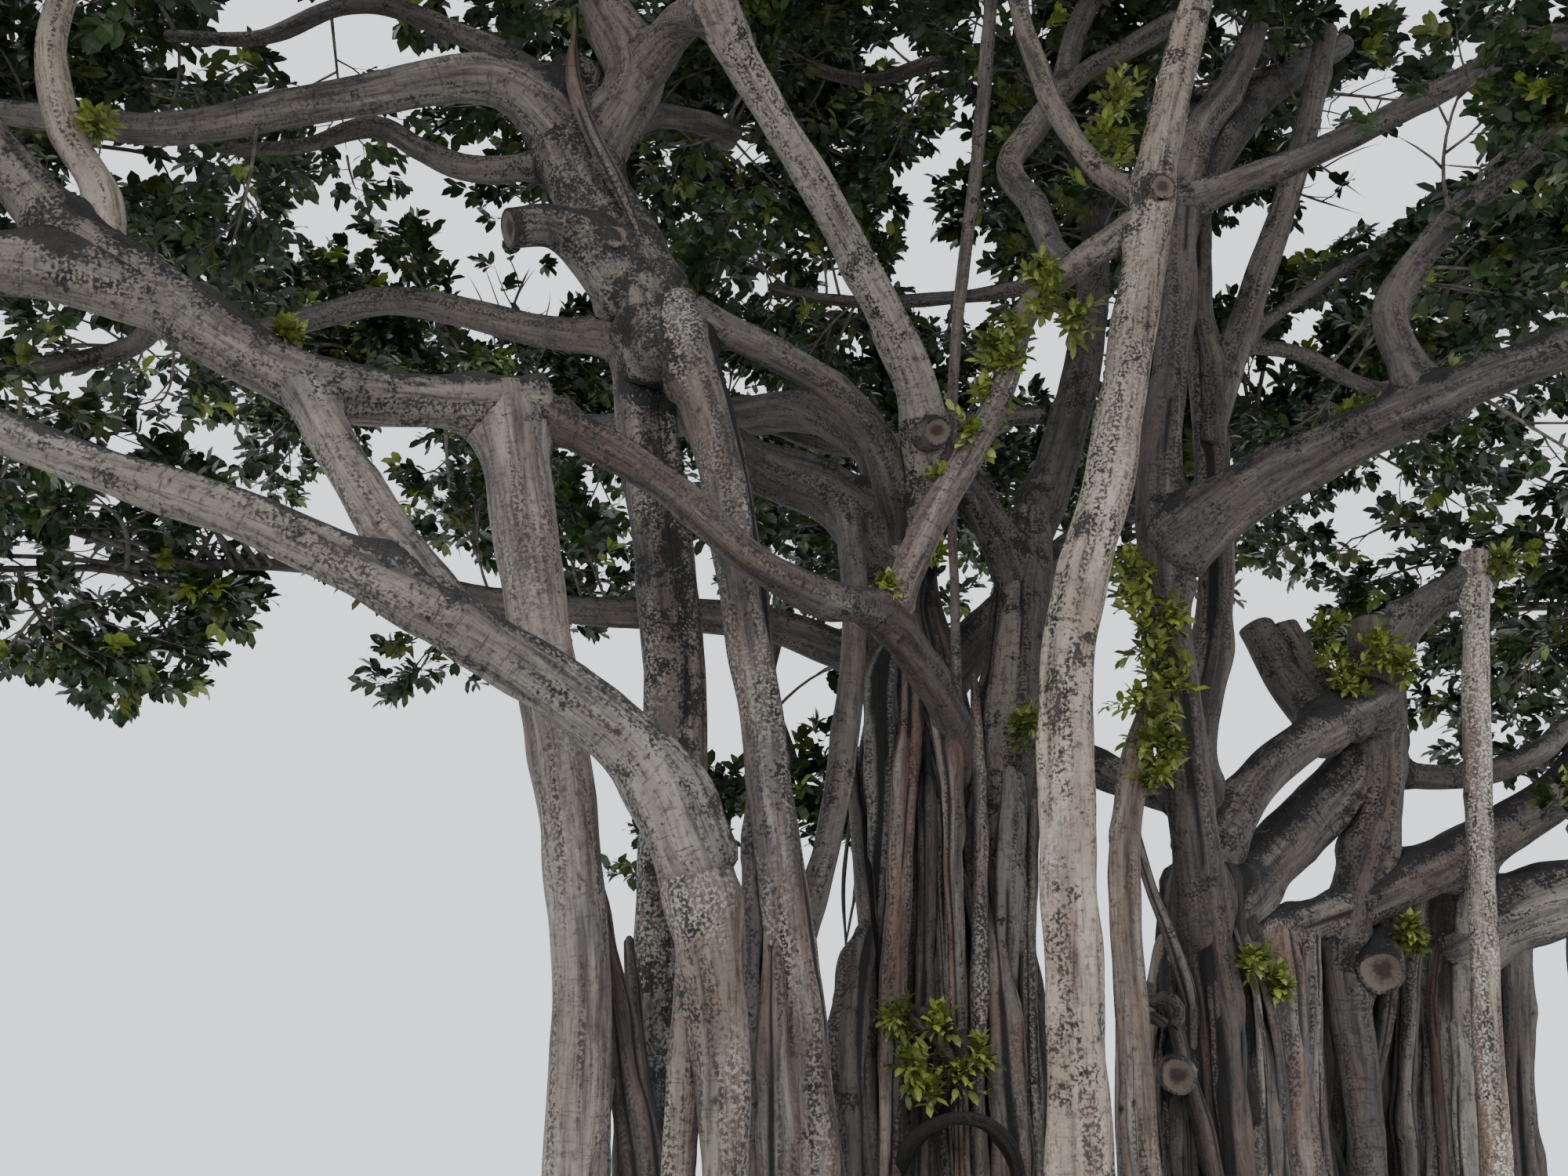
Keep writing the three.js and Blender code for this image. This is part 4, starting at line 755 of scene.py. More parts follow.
def growLimb(limb, look, rule, seed):
    rng = np.random.default_rng(seed)
    points = np.array(limb["through"], float)
    grounded = points[0, 2] == 0
    if grounded:
        points[0, 2] = -rule["buried"]
    centre = curveThrough(points, look["pitch"])
    base = spreadOver(limb["radii"], len(centre))
    tipRow = len(centre)
    if "tail" in limb:
        tail = curveThrough(limb["tail"]["through"], look["pitch"])[1:]
        centre = np.vstack([centre, tail])
        base = np.concatenate([base, spreadOver(limb["tail"]["radii"], len(tail))])
    base = softened(base, rule["softening"])
    if grounded:
        kept = centre[:, 2] > -rule["cutBelow"]
        tipRow -= int((~kept).sum())
        centre, base = centre[kept], base[kept]
        height = np.maximum(centre[:, 2], 0)
        base = base * (1 + limb.get("flare", 0) * np.exp(-height / rule["footHeight"]))
    base = base * look.get("slim", 1.0)
    along, side, other = framesAlong(centre, limb.get("wideAxis"))
    run = lengthAlong(centre)
    columns = max(rule["fewestColumns"], round(2 * math.pi * base.mean() / look["spacing"]))
    angle = np.linspace(0, 2 * math.pi, columns, endpoint=False)[None, :] * np.ones((len(run), 1))
    tone = np.zeros_like(angle)
    groove = np.zeros_like(angle)
    radius = base[:, None] * np.ones_like(angle)
    if look["lobes"]:
        radius, tone, groove = fusedRoots(angle, run, base, look, rootRule, rng)
    for k in rule["lumps"]:
        lean = np.sin(run * rng.uniform(1.5, 5) + rng.uniform(0, 6)) * rule["lumpSway"]
        swell = np.sin(run * rng.uniform(3, 11) + rng.uniform(0, 6))
        radius = radius * (1 + look["lump"] / k ** 0.5
                           * np.sin(k * angle + (lean + rng.uniform(0, 6))[:, None]) * swell[:, None])
    local = np.stack([np.cos(angle) * base[:, None], np.sin(angle) * base[:, None],
                      run[:, None] * np.ones_like(angle)], -1)
    sinews = sum(weight * smoothNoise(local, np.array(scale), seed + shift)
                 for weight, scale, shift in rule["sinews"])
    radius = radius + look["ribs"] * np.sqrt(base)[:, None] * sinews
    scar = np.zeros_like(angle)
    for _ in range(rng.poisson(look["knots"] * run[-1] * rule["knotShare"])):
        size = rng.uniform(*rule["knotSize"])
        off = (angle - rng.uniform(0, 2 * math.pi) + math.pi) % (2 * math.pi) - math.pi
        away = np.hypot(off * base[:, None], (run - rng.uniform(0.1, run[-1] - 0.05))[:, None]) / size
        ring = np.exp(-away ** 2) - rule["knotDip"] * np.exp(-6 * away ** 2)
        radius = radius + size * rule["knotHigh"] * ring
        # Painted shade in the knot's dip.
        scar = np.maximum(scar, np.exp(-2.2 * away ** 2))
    oval = limb.get("oval", 1.0)
    radial = ((np.cos(angle) * oval)[..., None] * side[:, None]
              + (np.sin(angle) / oval)[..., None] * other[:, None])
    skin = centre[:, None] + radial * radius[..., None]
    return {
        "skin": skin, "radial": radial, "centre": centre, "base": base, "along": along,
        "tone": look["tone"] + rule["toneSpread"] * tone, "groove": groove, "scar": scar,
        "space": local + (seed * 3.7) % 40, "look": look, "grounded": grounded,
        "sawn": limb.get("sawn", False), "tipRow": tipRow, "loose": limb.get("loose", False),
        "crease": np.zeros_like(angle),
    }


def insideBox(points, low, high):
    return ((points > low) & (points < high)).all(axis=1)


# Where each point is nearest to a chain of cones: the distance to its skin, the direction away from its
# centre line and its radius there.
def nearestOn(centre, base, points):
    start, step = centre[:-1], np.diff(centre, axis=0)
    away = points[:, None] - start
    t = np.clip((away * step).sum(-1) / (step * step).sum(-1), 0, 1)
    away = away - t[..., None] * step
    radius = base[:-1] + t * np.diff(base)
    distance = np.linalg.norm(away, axis=-1)
    pick = np.argmin(distance - radius, axis=1)
    rows = np.arange(len(points))
    return (distance - radius)[rows, pick], unit(away[rows, pick]), radius[rows, pick]


# Fillets: near another limb's skin the surface moves out by k/4 times the square of h, where h falls from 1
# on that skin to 0 at distance k outside it and at a third of that inside. Skins that run side by side need
# none, so it is scaled by one less the cosine of their angle, over `bend`. Loose roots keep their creases.
# h times that scale is also kept as painted shade for the crease where the limbs join.
filletRule = {"reach": 1.7, "most": 0.3, "inside": 0.33, "bend": 0.7, "leastMean": 0.55}


def filletLimbs(grown, rule):
    chains = []
    grown = [limb for limb in grown if not limb["loose"]]
    for limb in grown:
        thin = np.unique(np.r_[0:len(limb["centre"]):3, len(limb["centre"]) - 1])
        centre, base = limb["centre"][thin], limb["base"][thin]
        low = (centre - base[:, None]).min(axis=0)
        high = (centre + base[:, None]).max(axis=0)
        chains.append((centre, base, low, high))
    for i, limb in enumerate(grown):
        skin = limb["skin"].reshape(-1, 3)
        radial = limb["radial"].reshape(-1, 3)
        own = np.repeat(limb["base"], limb["skin"].shape[1])
        move = np.zeros_like(skin)
        crease = np.zeros(len(skin))
        for j, (centre, base, low, high) in enumerate(chains):
            if i == j:
                continue
            near = np.flatnonzero(insideBox(skin, low - rule["most"], high + rule["most"]))
            if len(near) == 0:
                continue
            distance, outward, width = nearestOn(centre, base, skin[near])
            k = np.minimum(rule["reach"] * np.minimum(own[near], width), rule["most"])
            h = np.clip(1 - np.maximum(distance, -distance / rule["inside"]) / k, 0, 1)
            bend = np.clip((1 - (outward * radial[near]).sum(-1)) / rule["bend"], 0, 1)
            mean = radial[near] * (1 - h / 2)[:, None] + outward * (h / 2)[:, None]
            size = np.maximum(np.linalg.norm(mean, axis=-1), rule["leastMean"])
            step = (h * h * k / 4 * bend / size ** 2)[:, None] * mean
            grew = np.linalg.norm(step, axis=-1) > np.linalg.norm(move[near], axis=-1)
            move[near[grew]] = step[grew]
            crease[near] = np.maximum(crease[near], h * bend)
        limb["skin"] = (skin + move).reshape(limb["skin"].shape)
        limb["crease"] = crease.reshape(limb["skin"].shape[:2])


# Closed mesh arrays of one limb, or of some of its rings: quads between rings, domed or sawn ends, and a pole
# at each end. `slim` draws the rings in a little, for a part that starts inside another. A sawn end has a
# rolled lip of bark and a face a little sunk: each ring's share of the radius, how far it stands out, and
# its `cut`, from 0 on the bark to 1 at the heart.
domeSteps = [0.45, 0.8, 0.97]
domeHigh = 0.6
sawnRings = [(1.0, 0.0, 0.0), (0.98, 0.1, 0.0), (0.9, 0.14, 0.1), (0.8, 0.08, 0.3), (0.72, 0.03, 0.4),
             (0.36, 0.0, 0.7)]


def dome(centre, ring, away):
    return [centre + away * u + (ring - centre) * math.sqrt(1 - u * u) for u in domeSteps]


def closeLimb(limb, first=0, last=None, slim=1.0):
    rows = np.arange(len(limb["centre"]))[first:last]
    centre = limb["centre"][rows]
    skin = centre[:, None] + (limb["skin"][rows] - centre[:, None]) * slim
    upper = np.clip(limb["radial"][..., 2], 0, 1) ** 1.5
    shape = limb["tone"].shape
    fields = {
        "tone": limb["tone"], "groove": limb["groove"], "scar": limb["scar"], "space": limb["space"],
        # The stain mask: real stains, more on the upper side, plus painted shade in the creases where limbs
        # join.
        "stain": limb["look"]["stain"] + limb["look"]["upper"] * upper + 0.25 * limb["crease"],
        **{name: np.full(shape, limb["look"][name]) for name in ("wrinkle", "warm", "lichen", "shade")},
    }
    grounded = limb["grounded"] and first == 0
    sawn = limb["sawn"] and rows[-1] + 1 == len(limb["centre"])
    before, after = [], []
    startPole, endPole = centre[0], centre[-1]
    if not grounded:
        away = -limb["along"][rows[0]] * limb["base"][rows[0]] * domeHigh
        before = dome(centre[0], skin[0], away)[::-1]
        startPole = centre[0] + away
    if sawn:
        outward = limb["along"][-1] * limb["base"][-1]
        spokes = skin[-1] - centre[-1]
        after = [centre[-1] + spokes * share + outward * rise for share, rise, _ in sawnRings]
    else:
        away = limb["along"][rows[-1]] * limb["base"][rows[-1]] * domeHigh
        after = dome(centre[-1], skin[-1], away)
        endPole = centre[-1] + away
    cut = np.zeros(len(before) + len(rows) + len(after))
    if sawn:
        cut[-len(after):] = [depth for _, _, depth in sawnRings]
    rows = np.r_[[rows[0]] * len(before), rows, [rows[-1]] * len(after)]
    columns = skin.shape[1]
    skin = np.concatenate([np.array(rings).reshape(-1, columns, 3) for rings in (before, skin, after)])
    vertices = np.vstack([skin.reshape(-1, 3), startPole, endPole])
    vertices[:, 2] = np.maximum(vertices[:, 2], 0)
    index = np.arange(skin.shape[0] * columns).reshape(-1, columns)
    turned = np.roll(index, -1, axis=1)
    quads = np.stack([index[:-1], turned[:-1], turned[1:], index[1:]], -1).reshape(-1, 4)
    root = np.stack([np.full(columns, index.size), turned[0], index[0]], -1)
    tip = np.stack([np.full(columns, index.size + 1), index[-1], turned[-1]], -1)
    flat = {}
    for name, values in fields.items():
        values = values[rows.astype(int)]
        values = values.reshape(-1, *values.shape[2:])
        flat[name] = np.concatenate([values, values[:1], values[-1:]])
    flat["cut"] = np.concatenate([np.repeat(cut, columns), [0.0, float(sawn)]])
    return {"vertices": vertices, "faces": [quads, root, tip], "fields": flat}


# Joins arrays into one mesh object at the origin. A part holds vertices, faces by corner count, fields for
# the points and the material of its faces.
def buildMesh(name, parts, materials, smooth=True):
    offset = 0
    corners, sizes, picks = [], [], []
    for part in parts:
        for faces in part["faces"]:
            corners.append((faces + offset).ravel())
            sizes.append(np.full(len(faces), faces.shape[1]))
            picks.append(np.broadcast_to(part.get("pick", 0), len(faces)))
        offset += len(part["vertices"])
    corners, sizes, picks = (np.concatenate(group).astype(np.int32) for group in (corners, sizes, picks))
    mesh = bpy.data.meshes.new(name)
    places = np.concatenate([part["vertices"] for part in parts]).astype(np.float32)
    mesh.vertices.add(offset)
    mesh.vertices.foreach_set("co", places.ravel())
    mesh.loops.add(len(corners))
    mesh.loops.foreach_set("vertex_index", corners)
    mesh.polygons.add(len(sizes))
    mesh.polygons.foreach_set("loop_start", np.concatenate([[0], np.cumsum(sizes)[:-1]]).astype(np.int32))
    for material in materials:
        mesh.materials.append(material)
    mesh.polygons.foreach_set("material_index", picks)
    mesh.polygons.foreach_set("use_smooth", np.full(len(sizes), smooth))
    for field in parts[0]["fields"]:
        values = np.concatenate([part["fields"][field] for part in parts]).astype(np.float32)
        kind, key = ("FLOAT_VECTOR", "vector") if values.ndim == 2 else ("FLOAT", "value")
        mesh.attributes.new(field, kind, "POINT").data.foreach_set(key, values.ravel())
    mesh.update(calc_edges=True)
    piece = bpy.data.objects.new(name, mesh)
    bpy.context.scene.collection.objects.link(piece)
    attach(piece, "root")
    print(f"{name}: {int((sizes - 2).sum())} triangles")
    return piece


# Small helpers for shader nodes. Each returns an output socket, and takes sockets or plain values.
def plug(tree, value, socket):
    if isinstance(value, bpy.types.NodeSocket):
        tree.links.new(value, socket)
    else:
        socket.default_value = value


def fieldNode(tree, name, output="Fac"):
    node = tree.nodes.new("ShaderNodeAttribute")
    node.attribute_name = name
    return node.outputs[output]


def objectSpace(tree):
    return tree.nodes.new("ShaderNodeTexCoord").outputs["Object"]


def stretched(tree, vector, scale):
    node = tree.nodes.new("ShaderNodeMapping")
    plug(tree, vector, node.inputs["Vector"])
    node.inputs["Scale"].default_value = scale
    return node.outputs["Vector"]


def noiseNode(tree, vector, scale, detail=3.0, rough=0.55):
    node = tree.nodes.new("ShaderNodeTexNoise")
    plug(tree, vector, node.inputs["Vector"])
    node.inputs["Scale"].default_value = scale
    node.inputs["Detail"].default_value = detail
    node.inputs["Roughness"].default_value = rough
    return node.outputs["Fac"]


def mathNode(tree, operation, a, b, c=0.0):
    node = tree.nodes.new("ShaderNodeMath")
    node.operation = operation
    for value, socket in zip((a, b, c), node.inputs):
        plug(tree, value, socket)
    return node.outputs[0]


def rangeNode(tree, value, low, high, out=(0.0, 1.0)):
    node = tree.nodes.new("ShaderNodeMapRange")
    node.interpolation_type = "SMOOTHSTEP"
    plug(tree, value, node.inputs["Value"])
    plug(tree, low, node.inputs["From Min"])
    plug(tree, high, node.inputs["From Max"])
    node.inputs["To Min"].default_value = out[0]
    node.inputs["To Max"].default_value = out[1]
    return node.outputs["Result"]


def mixNode(tree, share, first, second):
    node = tree.nodes.new("ShaderNodeMix")
    node.data_type = "RGBA"
    plug(tree, share, node.inputs["Factor"])
    sockets = [socket for socket in node.inputs if socket.type == "RGBA"]
    plug(tree, first if not isinstance(first, tuple) else (*first, 1.0), sockets[0])
    plug(tree, second if not isinstance(second, tuple) else (*second, 1.0), sockets[1])
    return [socket for socket in node.outputs if socket.type == "RGBA"][0]


def bumpNode(tree, height, strength, distance):
    node = tree.nodes.new("ShaderNodeBump")
    node.inputs["Strength"].default_value = strength
    node.inputs["Distance"].default_value = distance
    plug(tree, height, node.inputs["Height"])
    return node.outputs["Normal"]


def newMaterial(name):
    material = bpy.data.materials.new(name)
    material.use_nodes = True
    tree = material.node_tree
    return material, tree, tree.nodes["Principled BSDF"]


# Bark: grey-beige patches and streaks along the limb, warm or cool tints, fibres, black stains with speckled
# edges, dark speckles in rows, pale lichen, cracks across, and tan wood on sawn ends, with painted shade in
# the creases where limbs join, in the grooves between fused roots and in the dips of knots. The limb's own
# fields say how much of each there is, and `shade` darkens the whole: partly its own darker tone, partly
# painted shade from the crown and between the roots.
barkColours = {
    "base": (0.162, 0.135, 0.113), "cool": (0.108, 0.1, 0.096), "pale": (0.34, 0.3, 0.255),
    "dark": (0.032, 0.027, 0.024), "warm": (0.155, 0.092, 0.064), "blue": (0.172, 0.168, 0.155),
    "stain": (0.009, 0.0085, 0.008), "lichen": (0.52, 0.51, 0.45), "groove": (0.006, 0.005, 0.0045),
    "cut": (0.15, 0.118, 0.092), "heart": (0.05, 0.036, 0.028), "roughness": 0.9,
}
paleColours = {**barkColours, "base": (0.235, 0.19, 0.145), "cool": (0.19, 0.168, 0.145),
               "pale": (0.43, 0.37, 0.29), "dark": (0.036, 0.028, 0.022)}

# Each noise in the bark: its stretch across and along the limb's own grain, or None where it fills the
# object's space, then its scale, detail and roughness.
barkNoises = {
    "streaks": ((9, 9, 0.8), 2.2, 4.0, 0.6), "fibres": ((46, 46, 3.2), 1.6, 3.0, 0.6),
    "patches": (None, 1.7, 4.0, 0.6), "mottle": (None, 21.0, 4.0, 0.65), "speckle": (None, 62.0, 2.0, 0.55),
    "across": ((9, 9, 42), 1.0, 3.0, 0.6), "tint": ((6, 6, 1.1), 1.4, 3.0, 0.55),
    "rows": ((13, 13, 0.9), 1.3, 3.0, 0.55), "lichen": ((3, 3, 1), 1.5, 4.0, 0.55),
    "blotch": (None, 5.2, 6.0, 0.72),
}


def barkMaterial(name, colours):
    material, tree, surface = newMaterial(name)
    space = objectSpace(tree)
    grain = fieldNode(tree, "space", "Vector")
    noise = {kind: noiseNode(tree, stretched(tree, grain, stretch) if stretch else space, *rest)
             for kind, (stretch, *rest) in barkNoises.items()}
    streaks, fibres, mottle, speckle = (noise[kind] for kind in ("streaks", "fibres", "mottle", "speckle"))
    tone = fieldNode(tree, "tone")
    warm = fieldNode(tree, "warm")
    paleShare = mathNode(tree, "MULTIPLY_ADD", streaks, 0.9, mathNode(tree, "MULTIPLY", tone, 0.8))
    darkShare = mathNode(tree, "MULTIPLY_ADD", tone, 0.25, streaks)
    cracks = mathNode(tree, "MULTIPLY", rangeNode(tree, noise["across"], 0.43, 0.32),
                      fieldNode(tree, "wrinkle"))
    specks = mathNode(tree, "MULTIPLY", rangeNode(tree, noise["rows"], 0.5, 0.62),
                      rangeNode(tree, speckle, 0.47, 0.55, (0.0, 0.85)))
    lichenShare = mathNode(tree, "MULTIPLY", fieldNode(tree, "lichen"),
                           rangeNode(tree, noise["lichen"], 0.4, 0.66))
    lichenShare = mathNode(tree, "MULTIPLY", rangeNode(tree, speckle, 0.5, 0.42, (0.0, 0.8)), lichenShare)
    blotch = mathNode(tree, "MULTIPLY_ADD", mathNode(tree, "SUBTRACT", speckle, 0.5), 0.45, noise["blotch"])
    stainAndShadeEdge = mathNode(tree, "SUBTRACT", 0.75, mathNode(tree, "MULTIPLY", fieldNode(tree, "stain"), 0.42))
    layers = [
        ("cool", rangeNode(tree, noise["patches"], 0.4, 0.62)),
        ("pale", rangeNode(tree, paleShare, 0.4, 0.8)),
        ("warm", mathNode(tree, "MULTIPLY", warm, rangeNode(tree, noise["tint"], 0.36, 0.6))),
        ("blue", mathNode(tree, "MULTIPLY", warm, -0.8)),
        ("dark", rangeNode(tree, darkShare, 0.5, 0.3, (0.0, 0.75))),
        ("dark", rangeNode(tree, mottle, 0.48, 0.3, (0.0, 0.6))),
        ("dark", rangeNode(tree, fibres, 0.47, 0.33, (0.0, 0.55))),
        ("dark", cracks),
        ("dark", specks),
        ("lichen", lichenShare),
        # Stains, and painted shade in the creases where limbs join, both in the near-black stain colour.
        ("stain", rangeNode(tree, blotch, stainAndShadeEdge, mathNode(tree, "ADD", stainAndShadeEdge, 0.1), (0.0, 0.88))),
        # Painted shade in the grooves between fused roots and in the dips of knots.
        ("groove", rangeNode(tree, fieldNode(tree, "groove"), 0.55, 1.0, (0.0, 0.94))),
        ("groove", rangeNode(tree, fieldNode(tree, "scar"), 0.35, 0.9, (0.0, 0.85))),
    ]
    colour = colours["base"]
    for kind, share in layers:
        colour = mixNode(tree, share, colour, colours[kind])
    # `shade` scales the whole colour down: partly the limb's own darker tone, partly painted shade from the
    # crown and in the gaps between roots.
    shaded = tree.nodes.new("ShaderNodeVectorMath")
    shaded.operation = "SCALE"
    plug(tree, colour, shaded.inputs[0])
    plug(tree, fieldNode(tree, "shade"), shaded.inputs["Scale"])
    depth = fieldNode(tree, "cut")
    rot = mathNode(tree, "MULTIPLY_ADD", mottle, 0.9, mathNode(tree, "SUBTRACT", depth, 0.45))
    sawn = mixNode(tree, rangeNode(tree, rot, 0.45, 0.8), colours["cut"], colours["heart"])
    rings = mathNode(tree, "PINGPONG", mathNode(tree, "MULTIPLY_ADD", mottle, 0.03, depth), 0.04)
    sawn = mixNode(tree, rangeNode(tree, rings, 0.014, 0.004, (0.0, 0.45)), sawn, colours["heart"])
    colour = mixNode(tree, rangeNode(tree, depth, 0.16, 0.32), shaded.outputs["Vector"], sawn)
    relief = mathNode(tree, "MULTIPLY_ADD", fibres, 0.55, mathNode(tree, "MULTIPLY", mottle, 0.6))
    relief = mathNode(tree, "SUBTRACT", relief, mathNode(tree, "MULTIPLY", cracks, 0.6))
    relief = mathNode(tree, "MULTIPLY_ADD", streaks, 0.7, relief)
    relief = mathNode(tree, "MULTIPLY_ADD", speckle, 0.25, relief)
    tree.links.new(colour, surface.inputs["Base Color"])
    tree.links.new(bumpNode(tree, relief, 0.8, 0.022), surface.inputs["Normal"])
    surface.inputs["Roughness"].default_value = colours["roughness"]
    return material


# Curtains of free roots round a bundle: each one comes down at its own bearing, swaying a little, its flat
# side to the trunk, and its top turns in under the limbs. Widths lean to the thin end.
curtains = [
    {"limb": "trunk", "count": 38, "wide": (0.022, 0.1), "out": (0.8, 1.0), "top": (2.8, 4.7)},
    {"limb": "right_trunk", "count": 13, "wide": (0.02, 0.085), "out": (0.84, 1.04), "top": (2.55, 2.95)},
    {"limb": "broad_pillar", "count": 8, "wide": (0.025, 0.05), "out": (0.95, 1.05), "top": (2.3, 2.9)},
    {"limb": "trunk", "count": 30, "wide": (0.007, 0.018), "out": (0.98, 1.12), "top": (1.6, 4.4)},
    {"limb": "right_trunk", "count": 12, "wide": (0.007, 0.016), "out": (1.0, 1.14), "top": (2.3, 2.9)},
]
# How each root is drawn: its points, how far its bearing strays as a share of the spacing, its sway in
# radians and slope in radians a metre, how uneven its reach is and the share of it left at the top, the
# power that leans widths to the thin end, and its taper.
curtainRule = {"points": 8, "apart": 0.4, "sway": 0.1, "slope": 0.05, "uneven": 0.04, "topIn": 0.6,
               "thin": 1.6, "taper": [1.15, 1.0, 0.95, 0.9]}


def curtainRoots(curtain, rule, seed):
    rng = np.random.default_rng(seed)
    name = curtain["limb"]
    line = curveThrough(limbs[name]["through"], 0.1)
    base = spreadOver(limbs[name]["radii"], len(line))
    base = base * (1 + limbs[name]["flare"] * np.exp(-line[:, 2] / skinRule["footHeight"]))
    roots = []
    for j in range(curtain["count"]):
        top = rng.uniform(*curtain["top"])
        height = np.linspace(0, top, rule["points"])
        turn = (2 * math.pi * (j + rng.uniform(-rule["apart"], rule["apart"])) / curtain["count"]
                + rule["sway"] * np.sin(height * rng.uniform(0.8, 2.2) + rng.uniform(0, 6))
                + rng.normal(0, rule["slope"]) * height)
        reach = np.interp(height, line[:, 2], base) * rng.uniform(*curtain["out"])
        reach = reach * (1 + rule["uneven"] * rng.normal(0, 1, rule["points"]))
        reach[-1] *= rule["topIn"]
        middle = np.stack([np.interp(height, line[:, 2], line[:, k]) for k in range(2)], -1)
        ring = np.stack([np.cos(turn), np.sin(turn)], -1)
        points = np.column_stack([middle + ring * reach[:, None], height])
        least, most = curtain["wide"]
        wide = least + (most - least) * rng.uniform(0, 1) ** rule["thin"]
        roots.append({
            "through": points.tolist(), "radii": (wide * np.array(rule["taper"])).tolist(),
            "flare": 0.2, "oval": rng.uniform(1.0, 1.45), "wideAxis": [-ring[0, 1], ring[0, 0], 0],
            "tone": rng.normal(0, 0.3), "warm": rng.uniform(-0.8, 1.2), "stain": rng.uniform(0.1, 0.45),
            "lichen": rng.uniform(0, 0.8) ** 2, "shade": rng.uniform(0.3, 0.95),
        })
    return roots


def growLoose(root, seed):
    look = {**plainBark, **looseBark, **{name: root[name] for name in plainBark if name in root}}
    limb = {"wideAxis": [1, 0, 0] if "oval" in root else None, "flare": 0.2, "loose": True, **root}
    return growLimb(limb, look, skinRule, seed)


# Grows every limb and root, fillets them, and joins them by region. A strand and a thin limb take the next
# seed of their region. Where a limb carries a leaf mass, its tail goes with the boughs of the crown, and
# starts a few rings back inside the limb, drawn in a little.
def growBark():
    grown = {}
    hanging = [root for number, curtain in enumerate(curtains)
               for root in curtainRoots(curtain, curtainRule, seeds["curtains"] + number)]
    grown["roots"] = [growLoose(root, seeds["looseRoots"] + j) for j, root in enumerate(looseRoots + hanging)]
    tails = {mass["bough"]: tailOf(mass) for mass in masses.values()}
    for region, names in regions.items():
        seed = firstSeeds[region]
        kept = grown.setdefault(region, [])
        for name in names:
            limb = limbs[name]
            look = {**plainBark, **barkLooks.get(name, {})}
            if name in tails:
                limb = {**limb, "tail": tails[name]}
            for strand in [limb, *limb.get("strands", [])]:
                seed += 1
                kept.append(growLimb({"flare": limb.get("flare", 0), **strand}, look, skinRule, seed))
                kept[-1]["pale"] = region == "pale"
            kept[-1 - len(limb.get("strands", []))]["name"] = name
        for limb in thinLimbs.get(region, []):
            seed += 1
            kept.append(growLimb(limb, {**plainBark, **thinBark}, skinRule, seed))
            kept[-1]["name"] = limb.get("name")
    everyLimb = [limb for kept in grown.values() for limb in kept]
    report("limbs grown")
    filletLimbs(everyLimb, filletRule)
    report("fillets")
    looks = [barkMaterial("old_bark", barkColours), barkMaterial("smooth_bark", paleColours)]
    for region, names in regions.items():
        parts = [closeLimb(limb, 0, limb["tipRow"]) for limb in grown[region]]
        piece = buildMesh(region + "_bark", parts, [looks[region == "pale"]])
        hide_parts(*names)
    loose = [closeLimb(limb) for limb in grown["roots"]]
    half = len(looseRoots) + curtains[0]["count"] // 2
    buildMesh("free_roots", loose[:half], looks)
    buildMesh("curtain_roots", loose[half:], looks)
    stems = []
    for limb in everyLimb:
        if limb["tipRow"] < len(limb["centre"]):
            part = closeLimb(limb, limb["tipRow"] - tailRule["ringsBack"], None, tailRule["slim"])
            stems.append({**part, "pick": int(limb["pale"])})
    buildMesh("crown_boughs", stems, looks)
    report("bark")
    return everyLimb


# The stem of a mass leaves its bough's tip straight on, then bends to the middle of the space. Its knee is
# at a share of the way, and its radii are shares of the tip's.
tailRule = {"knee": 0.35, "radii": (1, 0.85, 0.65, 0.5, 0.35), "ringsBack": 3, "slim": 0.985}


def stemOf(mass):
    bough = limbs[mass["bough"]]
    line = curveThrough(bough["through"], 0.05)
    along = unit(line[-1] - line[-2])
    middle = np.array(mass["middle"])
    knee = line[-1] + along * tailRule["knee"] * np.linalg.norm(middle - line[-1])
    return line[-1], knee, middle, bough["radii"][-1]


def tailOf(mass):
    start, knee, middle, radius = stemOf(mass)
    return {"through": [start, knee, middle], "radii": [radius * share for share in tailRule["radii"]]}


grownLimbs = growBark()


# The crown: twigs of three orders, then leaves. Lengths and radii in metres, angles in radians.
crownRule = {
    "primaries": 20, "secondaries": 12, "tertiaries": 7, "leaves": 9, "tipReach": 0.96, "sprigShare": 0.8,
    "primaryRadius": 0.024, "secondaryRadius": 0.0095, "tertiaryRadius": 0.0042,
    "secondaryLength": (0.4, 0.85), "tertiaryLength": (0.14, 0.32), "secondaryLow": 0.22, "tertiaryLow": 0.3,
    "leafLength": 0.148, "leafWidth": 0.54, "borderClear": 0.02, "edgeMargin": 0.1, "limbClear": 0.1,
    "leavesPerPiece": 4800, "twigsPerPiece": 40000,
}
goldenAngle = math.pi * (3 - math.sqrt(5))


# A repeatable number from 0 to 1 for a place in a mass.
def chance(seed, index):
    return scatter(seed * 12.9898 + index * 78.233)


# A point is free for a mass inside its ellipsoid and nearer to it, by its own measure, than to the others.
# Sprigs on the boughs belong to no mass, so their number is -1 and all points are free for them.
def isFree(points, own, clear):
    depth = np.linalg.norm((points[:, None] - massMiddles) / massReaches, axis=-1)
    mine = depth[np.arange(len(points)), own].copy()
    depth[np.arange(len(points)), own] = 9
    return (own < 0) | ((mine <= 1) & (depth.min(axis=1) > mine + clear))


# Twigs as parabolas: start + run * t + bend * t (t - 1) * -4, for t from 0 to 1.
def twigAt(twigs, t):
    arch = (4 * t * (1 - t))[:, None]
    point = twigs["start"] + twigs["run"] * t[:, None] + twigs["bend"] * arch
    heading = twigs["run"] + twigs["bend"] * (4 - 8 * t)[:, None]
    return point, unit(heading)


def pickTwigs(twigs, rows):
    return {key: values[rows] for key, values in twigs.items()}


